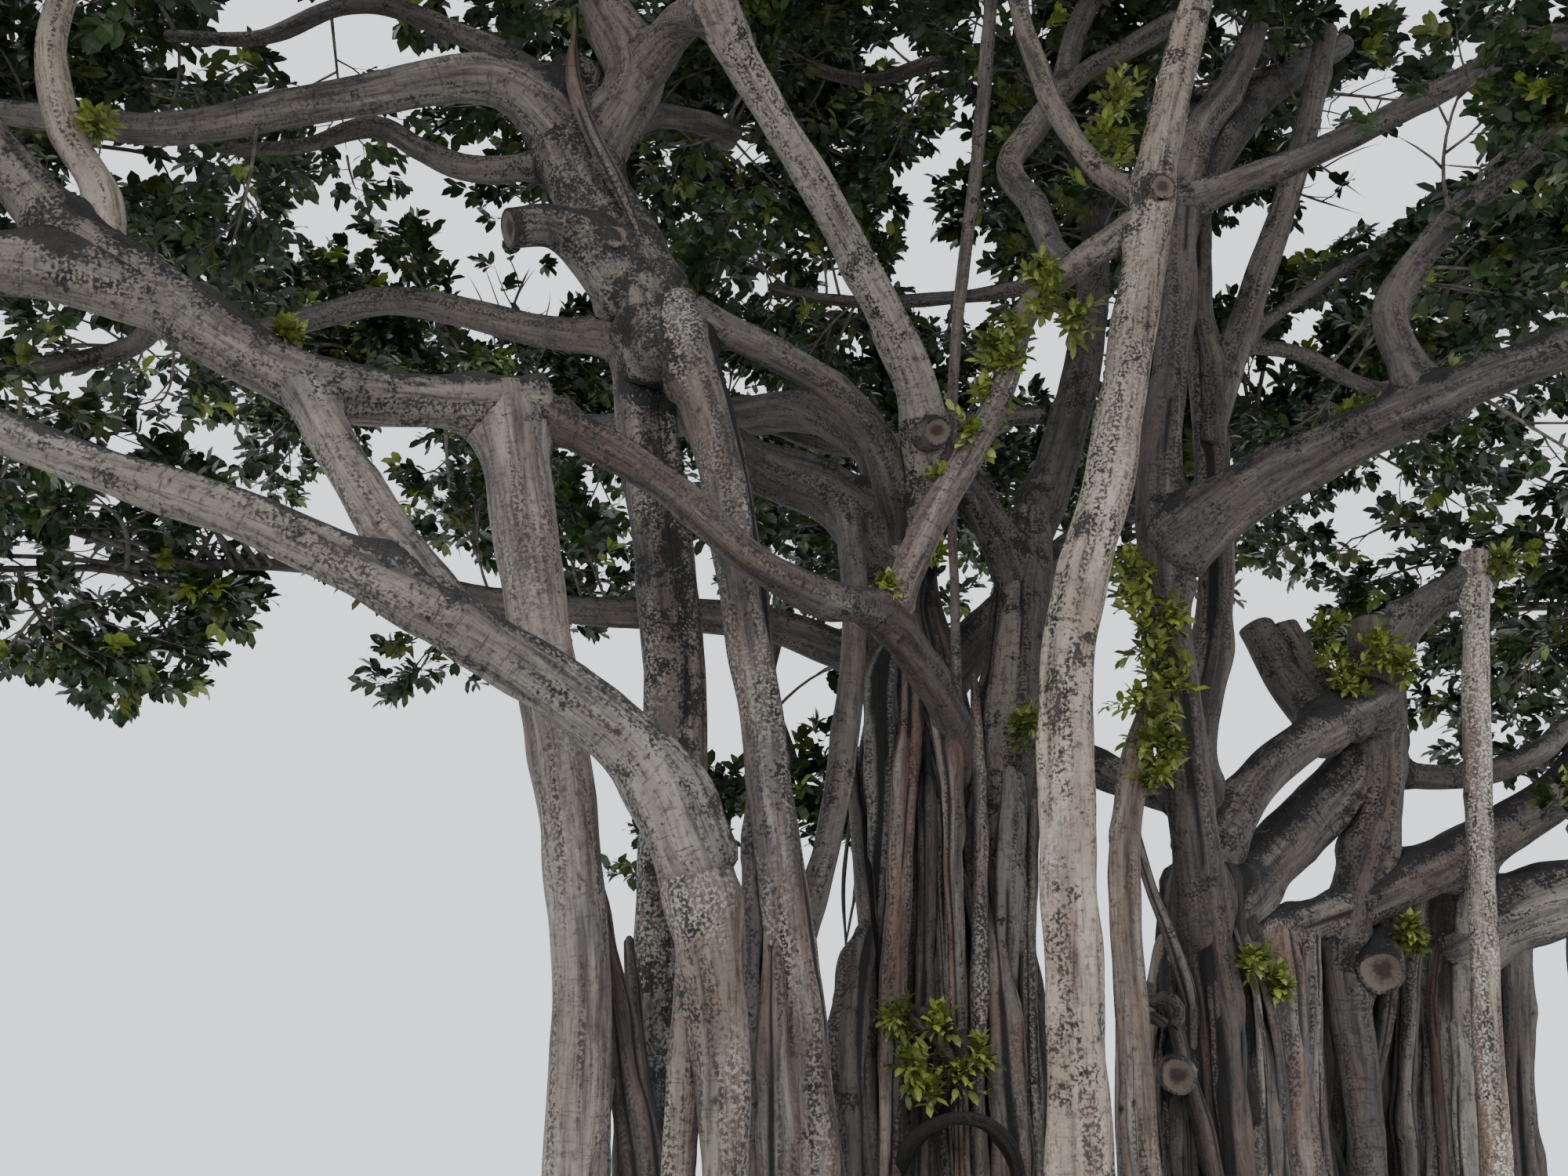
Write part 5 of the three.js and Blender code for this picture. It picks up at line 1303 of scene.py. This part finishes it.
def joinTwigs(groups):
    return {key: np.concatenate([group[key] for group in groups]) for key in groups[0]}


# The first order follows the source's rule: tips on the ellipsoid at golden-angle bearings, roots spread
# along the stem. Heights run from `top` of the ellipsoid's down by `span`. A tip that isn't free is drawn in
# towards the middle, a share at a time.
firstRule = {"top": 0.92, "span": 1.7, "stray": 0.8, "tries": 20, "shortest": 0.6, "drawIn": 0.08,
             "bend": 0.06, "lift": 0.07, "thickness": (0.85, 1.15)}


def firstTwigs(index, mass, rule, rng):
    _, knee, middle, _ = stemOf(mass)
    seed = index + 1
    k = np.arange(rule["primaries"])
    height = firstRule["top"] - firstRule["span"] * (k + 0.5) / rule["primaries"]
    bearing = k * goldenAngle + chance(seed, k) * firstRule["stray"] + seed
    level = np.sqrt(1 - height ** 2)
    outward = np.stack([np.cos(bearing) * level, np.sin(bearing) * level, height], -1)
    tip = middle + outward * np.array(mass["reach"]) * rule["tipReach"]
    root = knee + (middle - knee) * ((k + 1.5) / (rule["primaries"] + 1))[:, None]
    for _ in range(firstRule["tries"]):
        stuck = ~isFree(tip, np.full(len(tip), index), rule["borderClear"])
        stuck &= np.linalg.norm(tip - middle, axis=1) > firstRule["shortest"]
        tip[stuck] += (middle - tip[stuck]) * firstRule["drawIn"]
    run = tip - root
    length = np.linalg.norm(run, axis=1, keepdims=True)
    bend = (rng.normal(0, firstRule["bend"], run.shape) + [0, 0, firstRule["lift"]]) * length
    radius = np.full(len(k), rule["primaryRadius"]) * rng.uniform(*firstRule["thickness"], len(k))
    return {"start": root, "run": run, "bend": bend, "mass": np.full(len(k), index), "radius": radius}


# Side twigs: on each parent at places from low to 1, turned left and right of its heading about the upward
# axis and levelled, so that sprays lie in flat tiers. The last one carries its parent on, with `tipTurn` of
# the turn, and twigs get shorter towards it.
sideRule = {"stagger": (0.2, 0.8), "spread": (0.5, 1.15), "tipTurn": 0.25, "level": 0.6,
            "lift": (0.1, 0.3), "longest": 1.15, "shorter": 0.45, "bend": 0.07, "thickness": (0.8, 1.2)}


def sideTwigs(parents, count, low, lengths, radius, rng):
    number = len(parents["start"])
    place = (np.arange(count) + rng.uniform(*sideRule["stagger"], (number, count))) / count
    place = low + (1 - low) * place
    place[:, -1] = 1.0
    rows = np.repeat(np.arange(number), count)
    place = place.ravel()
    point, heading = twigAt(pickTwigs(parents, rows), place)
    hand = np.where(np.arange(len(rows)) % 2, 1, -1)
    turn = hand * rng.uniform(*sideRule["spread"], len(rows))
    turn = np.where(place == 1.0, turn * sideRule["tipTurn"], turn)
    cos, sin = np.cos(turn), np.sin(turn)
    way = np.stack([heading[:, 0] * cos - heading[:, 1] * sin, heading[:, 0] * sin + heading[:, 1] * cos,
                    heading[:, 2] * sideRule["level"] + rng.normal(*sideRule["lift"], len(rows))], -1)
    length = rng.uniform(*lengths, len(rows)) * (sideRule["longest"] - sideRule["shorter"] * place)
    run = unit(way) * length[:, None]
    bend = rng.normal(0, sideRule["bend"], run.shape) * length[:, None]
    return {"start": point, "run": run, "bend": bend, "mass": parents["mass"][rows],
            "radius": radius * rng.uniform(*sideRule["thickness"], len(rows))}


# Rounded cones for many twigs at once: rings of a few sides along each parabola, a point at the tip and a
# closed root. Each shape gives the sides, the rings and the share of the radius at the tip.
twigShapes = {"first": (6, 8, 0.35), "second": (3, 3, 0.5), "third": (3, 1, 0.6)}


def twigMesh(twigs, sides, bands, taper):
    number = len(twigs["start"])
    t = np.arange(bands) / bands
    rows = np.repeat(np.arange(number), bands)
    point, heading = twigAt(pickTwigs(twigs, rows), np.tile(t, number))
    across = unit(np.cross(heading, [0.31, 0.22, 0.93]))
    up = np.cross(heading, across)
    angle = 2 * math.pi * np.arange(sides) / sides
    radius = (twigs["radius"][:, None] * (1 - (1 - taper) * t)).ravel()
    ring = np.cos(angle)[:, None] * across[:, None] + np.sin(angle)[:, None] * up[:, None]
    rings = point[:, None] + ring * radius[:, None, None]
    tips = twigs["start"] + twigs["run"]
    size = bands * sides
    vertices = np.concatenate([rings.reshape(number, size, 3), tips[:, None]], axis=1)
    index = np.arange(size).reshape(bands, sides)
    turned = np.roll(index, -1, axis=1)
    quads = np.stack([index[:-1], turned[:-1], turned[1:], index[1:]], -1).reshape(-1, 4)
    fan = np.stack([np.full(sides, size), index[-1], turned[-1]], -1)
    root = index[0][::-1][None]
    shift = (np.arange(number) * (size + 1))[:, None, None]
    faces = [(group[None] + shift).reshape(-1, group.shape[1]) for group in (quads, fan, root)]
    return {"vertices": vertices.reshape(-1, 3), "faces": faces, "fields": {}}


# A leaf's corners: length along X, width along Y, cupped, and curved down towards its tip. And its faces.
leafPoints = np.array([[0, 0, 0], [0.3, 0.45, 0.06], [0.3, -0.45, 0.06], [0.72, 0.42, 0.02],
                       [0.72, -0.42, 0.02], [1, 0, -0.12]])
leafFaces = np.array([[0, 2, 1], [1, 2, 4], [1, 4, 3], [3, 4, 5]])


# Leaves round each twig at golden angles, in a rosette towards its tip, faces turned up. `low` is how far
# down the twig they start, and they open by an angle that narrows towards the tip.
bladeRule = {"low": 0.75, "crowding": 0.8, "open": (0.55, 1.25), "widest": 1.15, "narrowing": 0.55,
             "sag": 0.06, "waySpread": 0.12, "faceSpread": 0.33, "size": (0.7, 1.2), "wide": (0.85, 1.15)}


def leafMesh(twigs, picks, rule, rng):
    count = rule["leaves"]
    length = rule["leafLength"]
    number = len(twigs["start"])
    rows = np.repeat(np.arange(number), count)
    order = np.tile(np.arange(count), number)
    place = 1 - bladeRule["low"] * (1 - (order + 0.6) / count) ** bladeRule["crowding"]
    point, heading = twigAt(pickTwigs(twigs, rows), np.minimum(place, 1.0))
    across = unit(np.cross(heading, [0.05, 0.02, 1.0]))
    up = np.cross(across, heading)
    angle = order * goldenAngle + np.repeat(rng.uniform(0, 6.28, number), count)
    narrower = bladeRule["widest"] - bladeRule["narrowing"] * place
    opening = rng.uniform(*bladeRule["open"], len(rows)) * narrower
    radial = across * np.cos(angle)[:, None] + up * np.sin(angle)[:, None]
    way = unit(heading * np.cos(opening)[:, None] + radial * np.sin(opening)[:, None]
               + rng.normal(0, bladeRule["waySpread"], heading.shape) + [0, 0, -bladeRule["sag"]])
    face = rng.normal(0, bladeRule["faceSpread"], heading.shape) + [0, 0, 1]
    sideways = unit(np.cross(face, way))
    normal = np.cross(way, sideways)
    share = np.where(twigs["mass"][rows] < 0, rule["sprigShare"], 1)
    size = length * rng.uniform(*bladeRule["size"], len(rows)) * share
    wide = size * rule["leafWidth"] * rng.uniform(*bladeRule["wide"], len(rows))
    shape = (way[:, None] * (leafPoints[:, 0] * size[:, None])[..., None]
             + sideways[:, None] * (leafPoints[:, 1] * wide[:, None])[..., None]
             + normal[:, None] * (leafPoints[:, 2] * size[:, None])[..., None])
    vertices = (point[:, None] + shape).reshape(-1, 3)
    faces = (leafFaces[None] + (np.arange(len(rows)) * len(leafPoints))[:, None, None]).reshape(-1, 3)
    blade = np.tile(leafPoints, (len(rows), 1))
    blade[:, 2] = np.repeat(rng.uniform(0, 1, len(rows)), len(leafPoints))
    return {"vertices": vertices, "faces": [faces], "fields": {"blade": blade},
            "pick": np.repeat(np.repeat(picks, count), len(leafFaces))}


# Leaf greens, each from its darker to its lighter end, and the share of the crown's sprays and of the
# sprouts' shoots that takes each one.
leafColours = {
    "deep": ((0.012, 0.028, 0.009), (0.022, 0.045, 0.013)),
    "mid": ((0.022, 0.05, 0.012), (0.04, 0.08, 0.018)),
    "warm": ((0.05, 0.075, 0.014), (0.1, 0.12, 0.025)),
    "young": ((0.1, 0.15, 0.02), (0.24, 0.29, 0.045)),
    "sprout": ((0.09, 0.125, 0.02), (0.235, 0.265, 0.06)),
}
leafShares = {"deep": 0.5, "mid": 0.33, "warm": 0.13, "young": 0.04}
sproutShares = {"sprout": 0.5, "young": 0.3, "warm": 0.2}
leafRoughness = {"crown": 0.42, "sprouts": 0.45}


# A leaf's own field holds its length, its width and a random tone: light rib and veins on a mottled green.
def leafMaterial(name, low, high, roughness):
    material, tree, surface = newMaterial(name)
    parts = tree.nodes.new("ShaderNodeSeparateXYZ")
    tree.links.new(fieldNode(tree, "blade", "Vector"), parts.inputs[0])
    along, across, tone = parts.outputs
    across = mathNode(tree, "ABSOLUTE", across, 0.0)
    patches = noiseNode(tree, objectSpace(tree), 9.0, 2.0)
    share = mathNode(tree, "MULTIPLY_ADD", patches, 0.4, mathNode(tree, "MULTIPLY", tone, 0.75))
    colour = mixNode(tree, share, low, high)
    slant = mathNode(tree, "MULTIPLY_ADD", across, -0.6, along)
    veins = mathNode(tree, "PINGPONG", slant, 0.07)
    lines = mathNode(tree, "MAXIMUM", rangeNode(tree, across, 0.035, 0.015),
                     rangeNode(tree, veins, 0.012, 0.004, (0.0, 0.45)))
    rib = tuple(2.0 * value for value in high)
    colour = mixNode(tree, mathNode(tree, "MULTIPLY", lines, 0.6), colour, rib)
    tree.links.new(colour, surface.inputs["Base Color"])
    tree.links.new(bumpNode(tree, lines, 0.3, 0.002), surface.inputs["Normal"])
    surface.inputs["Roughness"].default_value = roughness
    return material


# Twigs: brown-grey mottles and a fine grain.
twigLook = {"dark": (0.07, 0.06, 0.05), "light": (0.17, 0.15, 0.125), "mottle": 14.0, "grain": 70.0,
            "roughness": 0.85}


def twigMaterial(look):
    material, tree, surface = newMaterial("twig_bark")
    mottle = rangeNode(tree, noiseNode(tree, objectSpace(tree), look["mottle"]), 0.35, 0.65)
    grain = noiseNode(tree, objectSpace(tree), look["grain"])
    tree.links.new(mixNode(tree, mottle, look["dark"], look["light"]), surface.inputs["Base Color"])
    tree.links.new(bumpNode(tree, grain, 0.4, 0.004), surface.inputs["Normal"])
    surface.inputs["Roughness"].default_value = look["roughness"]
    return material


# Points clear of every limb by the given distance.
def clearOfLimbs(points, clear):
    free = np.ones(len(points), bool)
    for limb in grownLimbs:
        thin = np.unique(np.r_[0:len(limb["centre"]):4, len(limb["centre"]) - 1])
        centre, base = limb["centre"][thin], limb["base"][thin]
        reach = base.max() + clear
        near = np.flatnonzero(insideBox(points, centre.min(axis=0) - reach, centre.max(axis=0) + reach))
        if len(near):
            free[near] &= nearestOn(centre, base, points[near])[0] > clear
    return free


# Side twigs whose tips are free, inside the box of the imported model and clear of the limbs.
def freeTwigs(parents, count, low, lengths, radius, rule, rng):
    twigs = sideTwigs(parents, count, low, lengths, radius, rng)
    tip = twigs["start"] + twigs["run"]
    boxLow, boxHigh = np.array(cadBox)
    free = isFree(tip, twigs["mass"], rule["borderClear"])
    free &= insideBox(tip, boxLow + rule["edgeMargin"], boxHigh - rule["edgeMargin"])
    return pickTwigs(twigs, np.flatnonzero(free & clearOfLimbs(tip, rule["limbClear"])))


# Open places, where the sky shows through the crown: of the sprays whose tips lie in a cone between two
# points, a share is left out.
openPlaces = [
    {"through": [[1.92, -3.2, 6.0], [6.42, 7.0, 13.12]], "radii": [0.37, 0.97], "share": 0.92},
    {"through": [[-2.57, -0.5, 7.01], [-4.01, 7.0, 11.52]], "radii": [0.44, 0.8], "share": 0.9},
    {"through": [[-4.75, -1.0, 5.06], [-8.18, 6.5, 8.11]], "radii": [0.78, 1.47], "share": 0.55},
    {"through": [[-4.1, -2.5, 5.92], [-8.29, 6.5, 11.48]], "radii": [0.6, 1.38], "share": 0.4},
    {"through": [[3.86, 0.5, 5.44], [6.69, 6.5, 7.74]], "radii": [0.75, 1.2], "share": 0.5},
    {"through": [[1.85, -1.5, 7.92], [4.72, 7.0, 14.64]], "radii": [0.29, 0.6], "share": 0.8},
]


def thinOut(twigs):
    tips = twigs["start"] + twigs["run"]
    stays = np.ones(len(tips), bool)
    for number, place in enumerate(openPlaces):
        inside = nearestOn(np.array(place["through"]), np.array(place["radii"]), tips)[0] < 0
        stays &= ~inside | (chance(number + 1, np.arange(len(tips))) > place["share"])
    return pickTwigs(twigs, stays)


def growCrown(rule):
    rng = np.random.default_rng(seeds["crown"])
    first = joinTwigs([firstTwigs(index, mass, rule, rng) for index, mass in enumerate(masses.values())])
    second = freeTwigs(first, rule["secondaries"], rule["secondaryLow"], rule["secondaryLength"],
                       rule["secondaryRadius"], rule, rng)
    third = freeTwigs(second, rule["tertiaries"], rule["tertiaryLow"], rule["tertiaryLength"],
                      rule["tertiaryRadius"], rule, rng)
    sprigs, shoots, sprays = boughSprigs(sprigRule, rule)
    report(f"crown laid out, {len(third['start'])} + {len(sprays['start'])} sprays")
    return joinTwigs([first, sprigs]), joinTwigs([second, shoots]), thinOut(joinTwigs([third, sprays]))


# Sprigs: leafy side twigs on the outer part of the boughs, where the photo shows leaves between the masses.
# A bough's place in `counts` sets its seed, so one without sprigs keeps its line.
sprigRule = {
    "low": 0.4, "length": (0.5, 1.15), "radius": 0.013, "seconds": 6, "secondLow": 0.25,
    "secondLength": (0.25, 0.55), "thirds": 5, "forward": 0.45, "lift": 0.25, "bend": 0.06,
    "counts": {"high_left_bough": 2, "mid_left_bough": 4, "rear_left_bough": 7,
               "rear_crown_branch": 6, "crown_fork_left": 4, "dark_bough": 4, "riser": 15, "right_riser": 2,
               "high_right_bough": 2, "right_bough": 5, "back_bough": 16, "back_right_bough": 14,
               "rear_rail": 8, "low_right_bough": 4, "rear_low_bough": 2, "upper_left_bough": 0,
               "elbow_limb": 3, "high_limb": 14, "back_limb": 12, "split_limb": 0, "right_limb": 5,
               "high_left_limb": 4, "low_left_limb": 5, "side_limb": 3, "short_limb": 6,
               "low_back_limb": 10},
}


def boughSprigs(rule, crown):
    named = {limb["name"]: limb for limb in grownLimbs if limb.get("name")}
    groups = []
    for number, (name, count) in enumerate(rule["counts"].items()):
        rng = np.random.default_rng(seeds["sprigs"] + number)
        limb = named[name]
        rows = (limb["tipRow"] * (rule["low"] + (1 - rule["low"]) * rng.uniform(0, 1, count))).astype(int)
        along = limb["along"][rows]
        across = unit(np.cross(along, rng.normal(0, 1, along.shape)) + [0, 0, rule["lift"]])
        run = unit(rule["forward"] * along + across) * rng.uniform(*rule["length"], count)[:, None]
        sprigs = {"start": limb["centre"][rows], "run": run, "bend": rng.normal(0, rule["bend"], run.shape),
                  "mass": np.full(count, -1), "radius": np.full(count, rule["radius"])}
        shoots = freeTwigs(sprigs, rule["seconds"], rule["secondLow"], rule["secondLength"],
                           crown["secondaryRadius"], crown, rng)
        sprays = freeTwigs(shoots, rule["thirds"], crown["tertiaryLow"], crown["tertiaryLength"],
                           crown["tertiaryRadius"], crown, rng)
        groups.append((sprigs, shoots, sprays))
    return [joinTwigs(order) for order in zip(*groups)]


def splitRows(number, perPiece):
    return np.array_split(np.arange(number), max(1, math.ceil(number / perPiece)))


def buildCrown(rule):
    rng = np.random.default_rng(seeds["leaves"])
    first, second, third = growCrown(rule)
    names = list(masses)
    number = len(third["start"])
    wood = twigMaterial(twigLook)
    coarse = [twigMesh(first, *twigShapes["first"]), twigMesh(second, *twigShapes["second"])]
    buildMesh("crown_twigs", coarse, [wood])
    for j, rows in enumerate(splitRows(number, rule["twigsPerPiece"])):
        fine = twigMesh(pickTwigs(third, rows), *twigShapes["third"])
        buildMesh(f"fine_twigs_{j + 1}", [fine], [wood])
    leaves = [leafMaterial(name + "_leaf", *leafColours[name], leafRoughness["crown"]) for name in leafShares]
    picks = rng.choice(len(leaves), number, p=list(leafShares.values()))
    for j, rows in enumerate(splitRows(number, rule["leavesPerPiece"])):
        part = leafMesh(pickTwigs(third, rows), picks[rows], rule, rng)
        piece = buildMesh(f"leaves_{j + 1}", [part], leaves, smooth=False)
    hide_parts(*names)
    report("crown")
    return wood


# Sprouts: tufts of young shoots on the trunk and boughs. Each tuft is a place and a reach, and its shoots
# point out to the front and up, by a normal spread.
sproutRule = {"shoots": 13, "outward": (0.0, -0.5, 0.45), "spread": 0.6, "length": (0.6, 1.4),
              "sunk": 0.03, "apart": 0.18, "bend": 0.08, "radius": 0.004, "leaves": 9, "leafLength": 0.088,
              "leafWidth": 0.46, "sprigShare": 1.0}
sproutPlaces = [
    (1.14, -1.18, 4.4, 0.17), (1.18, -1.18, 4.12, 0.2), (1.12, -1.18, 3.85, 0.17), (1.1, -1.2, 3.6, 0.17),
    (1.14, -1.2, 3.4, 0.15), (1.26, -1.15, 4.3, 0.17), (1.28, -1.15, 3.95, 0.18),
    (1.12, -1.15, 4.62, 0.13), (1.24, -1.18, 3.55, 0.14), (1.26, -1.1, 7.77, 0.2),
    (1.21, -1.1, 7.5, 0.22), (1.18, -1.1, 7.25, 0.18), (0.54, -2.1, 5.8, 0.17), (0.66, -2.15, 5.62, 0.15),
    (0.34, -1.95, 5.5, 0.14), (0.16, -1.85, 5.14, 0.15), (0.24, -1.88, 5.34, 0.13),
    (0.42, -2.0, 5.66, 0.17), (0.5, -2.05, 5.95, 0.14), (0.3, -1.85, 5.62, 0.13),
    (0.02, -1.75, 4.9, 0.11), (-0.3, -1.75, 4.3, 0.08), (-0.22, -0.85, 2.16, 0.16),
    (-0.2, -0.88, 1.94, 0.15), (-0.02, -0.88, 2.1, 0.16), (0.03, -0.88, 1.9, 0.16),
    (-0.1, -0.9, 1.78, 0.13), (0.16, -0.86, 2.0, 0.12), (0.01, -0.62, 4.9, 0.12),
    (2.59, -0.05, 4.6, 0.15), (2.63, -0.05, 4.36, 0.15), (2.66, -0.05, 4.2, 0.12),
    (2.87, -0.1, 4.48, 0.15), (3.0, -0.1, 4.36, 0.12), (1.71, -0.76, 2.47, 0.11),
    (1.88, -0.62, 2.38, 0.11), (2.98, 0.2, 2.66, 0.12), (2.9, 0.1, 2.78, 0.1), (3.7, -0.15, 5.0, 0.13),
    (-4.02, -3.4, 5.97, 0.08), (0.57, -0.62, 3.84, 0.12), (-3.1, -3.15, 5.02, 0.07),
    (-1.2, -2.75, 7.32, 0.1), (2.3, -1.62, 5.34, 0.1),
]


def growSprouts(rule, wood):
    rng = np.random.default_rng(seeds["sprouts"])
    places = np.array(sproutPlaces)
    middle, reach = places[:, :3], places[:, 3]
    rows = np.repeat(np.arange(len(reach)), rule["shoots"])
    way = unit(rng.normal(0, rule["spread"], (len(rows), 3)) + rule["outward"])
    run = way * (reach[rows] * rng.uniform(*rule["length"], len(rows)))[:, None]
    stray = rng.normal(0, rule["apart"], (len(rows), 3)) * reach[rows, None]
    start = middle[rows] - way * rule["sunk"] + stray
    shoots = {"start": start, "run": run, "bend": rng.normal(0, rule["bend"], run.shape) * reach[rows, None],
              "mass": rows, "radius": np.full(len(rows), rule["radius"])}
    buildMesh("sprout_shoots", [twigMesh(shoots, *twigShapes["second"])], [wood])
    greens = [leafMaterial("sprout_" + name, *leafColours[name], leafRoughness["sprouts"])
              for name in sproutShares]
    picks = rng.choice(len(greens), len(rows), p=list(sproutShares.values()))
    part = leafMesh(shoots, picks, rule, rng)
    buildMesh("sprout_leaves", [part], greens, smooth=False)
    report("sprouts")


growSprouts(sproutRule, buildCrown(crownRule))


# A pale floor, a pale sky and a soft sun from the front left, with a wider, lower one that reaches under the
# crown.
stageLook = {
    "floor": (0.62, 0.62, 0.6), "floorShade": 0.95, "floorMottle": 0.4, "floorRoughness": 0.9,
    "floorSize": 60.0, "floorLevel": -0.002, "sky": (0.9, 0.93, 1.0), "skyStrength": 1.6,
    "lights": {
        "soft_sun": {"strength": 1.7, "angle": 25.0, "place": (0, 0, 20), "turn": (48, 0, -32)},
        "front_fill": {"strength": 0.65, "angle": 60.0, "place": (0, -14, 8), "turn": (76, 0, -14)},
    },
}


def lightStage(look):
    size, level = look["floorSize"], look["floorLevel"]
    corners = [[-size, -size, level], [size, -size, level], [size, size, level], [-size, size, level]]
    material, tree, surface = newMaterial("floor")
    darker = tuple(look["floorShade"] * value for value in look["floor"])
    mottle = noiseNode(tree, objectSpace(tree), look["floorMottle"])
    tree.links.new(mixNode(tree, mottle, look["floor"], darker), surface.inputs["Base Color"])
    surface.inputs["Roughness"].default_value = look["floorRoughness"]
    mesh = bpy.data.meshes.new("floor")
    mesh.from_pydata(corners, [], [[0, 1, 2, 3]])
    mesh.materials.append(material)
    floor = bpy.data.objects.new("floor", mesh)
    bpy.context.scene.collection.objects.link(floor)
    world = bpy.data.worlds.new("pale_sky")
    world.use_nodes = True
    sky = world.node_tree.nodes["Background"]
    sky.inputs["Color"].default_value = (*look["sky"], 1.0)
    sky.inputs["Strength"].default_value = look["skyStrength"]
    bpy.context.scene.world = world
    for name, light in look["lights"].items():
        sun = bpy.data.lights.new(name, "SUN")
        sun.energy = light["strength"]
        sun.angle = math.radians(light["angle"])
        lamp = bpy.data.objects.new(name, sun)
        lamp.location = light["place"]
        lamp.rotation_euler = tuple(math.radians(value) for value in light["turn"])
        bpy.context.scene.collection.objects.link(lamp)
    report("stage")


lightStage(stageLook)

bpy.context.view_layer.update()
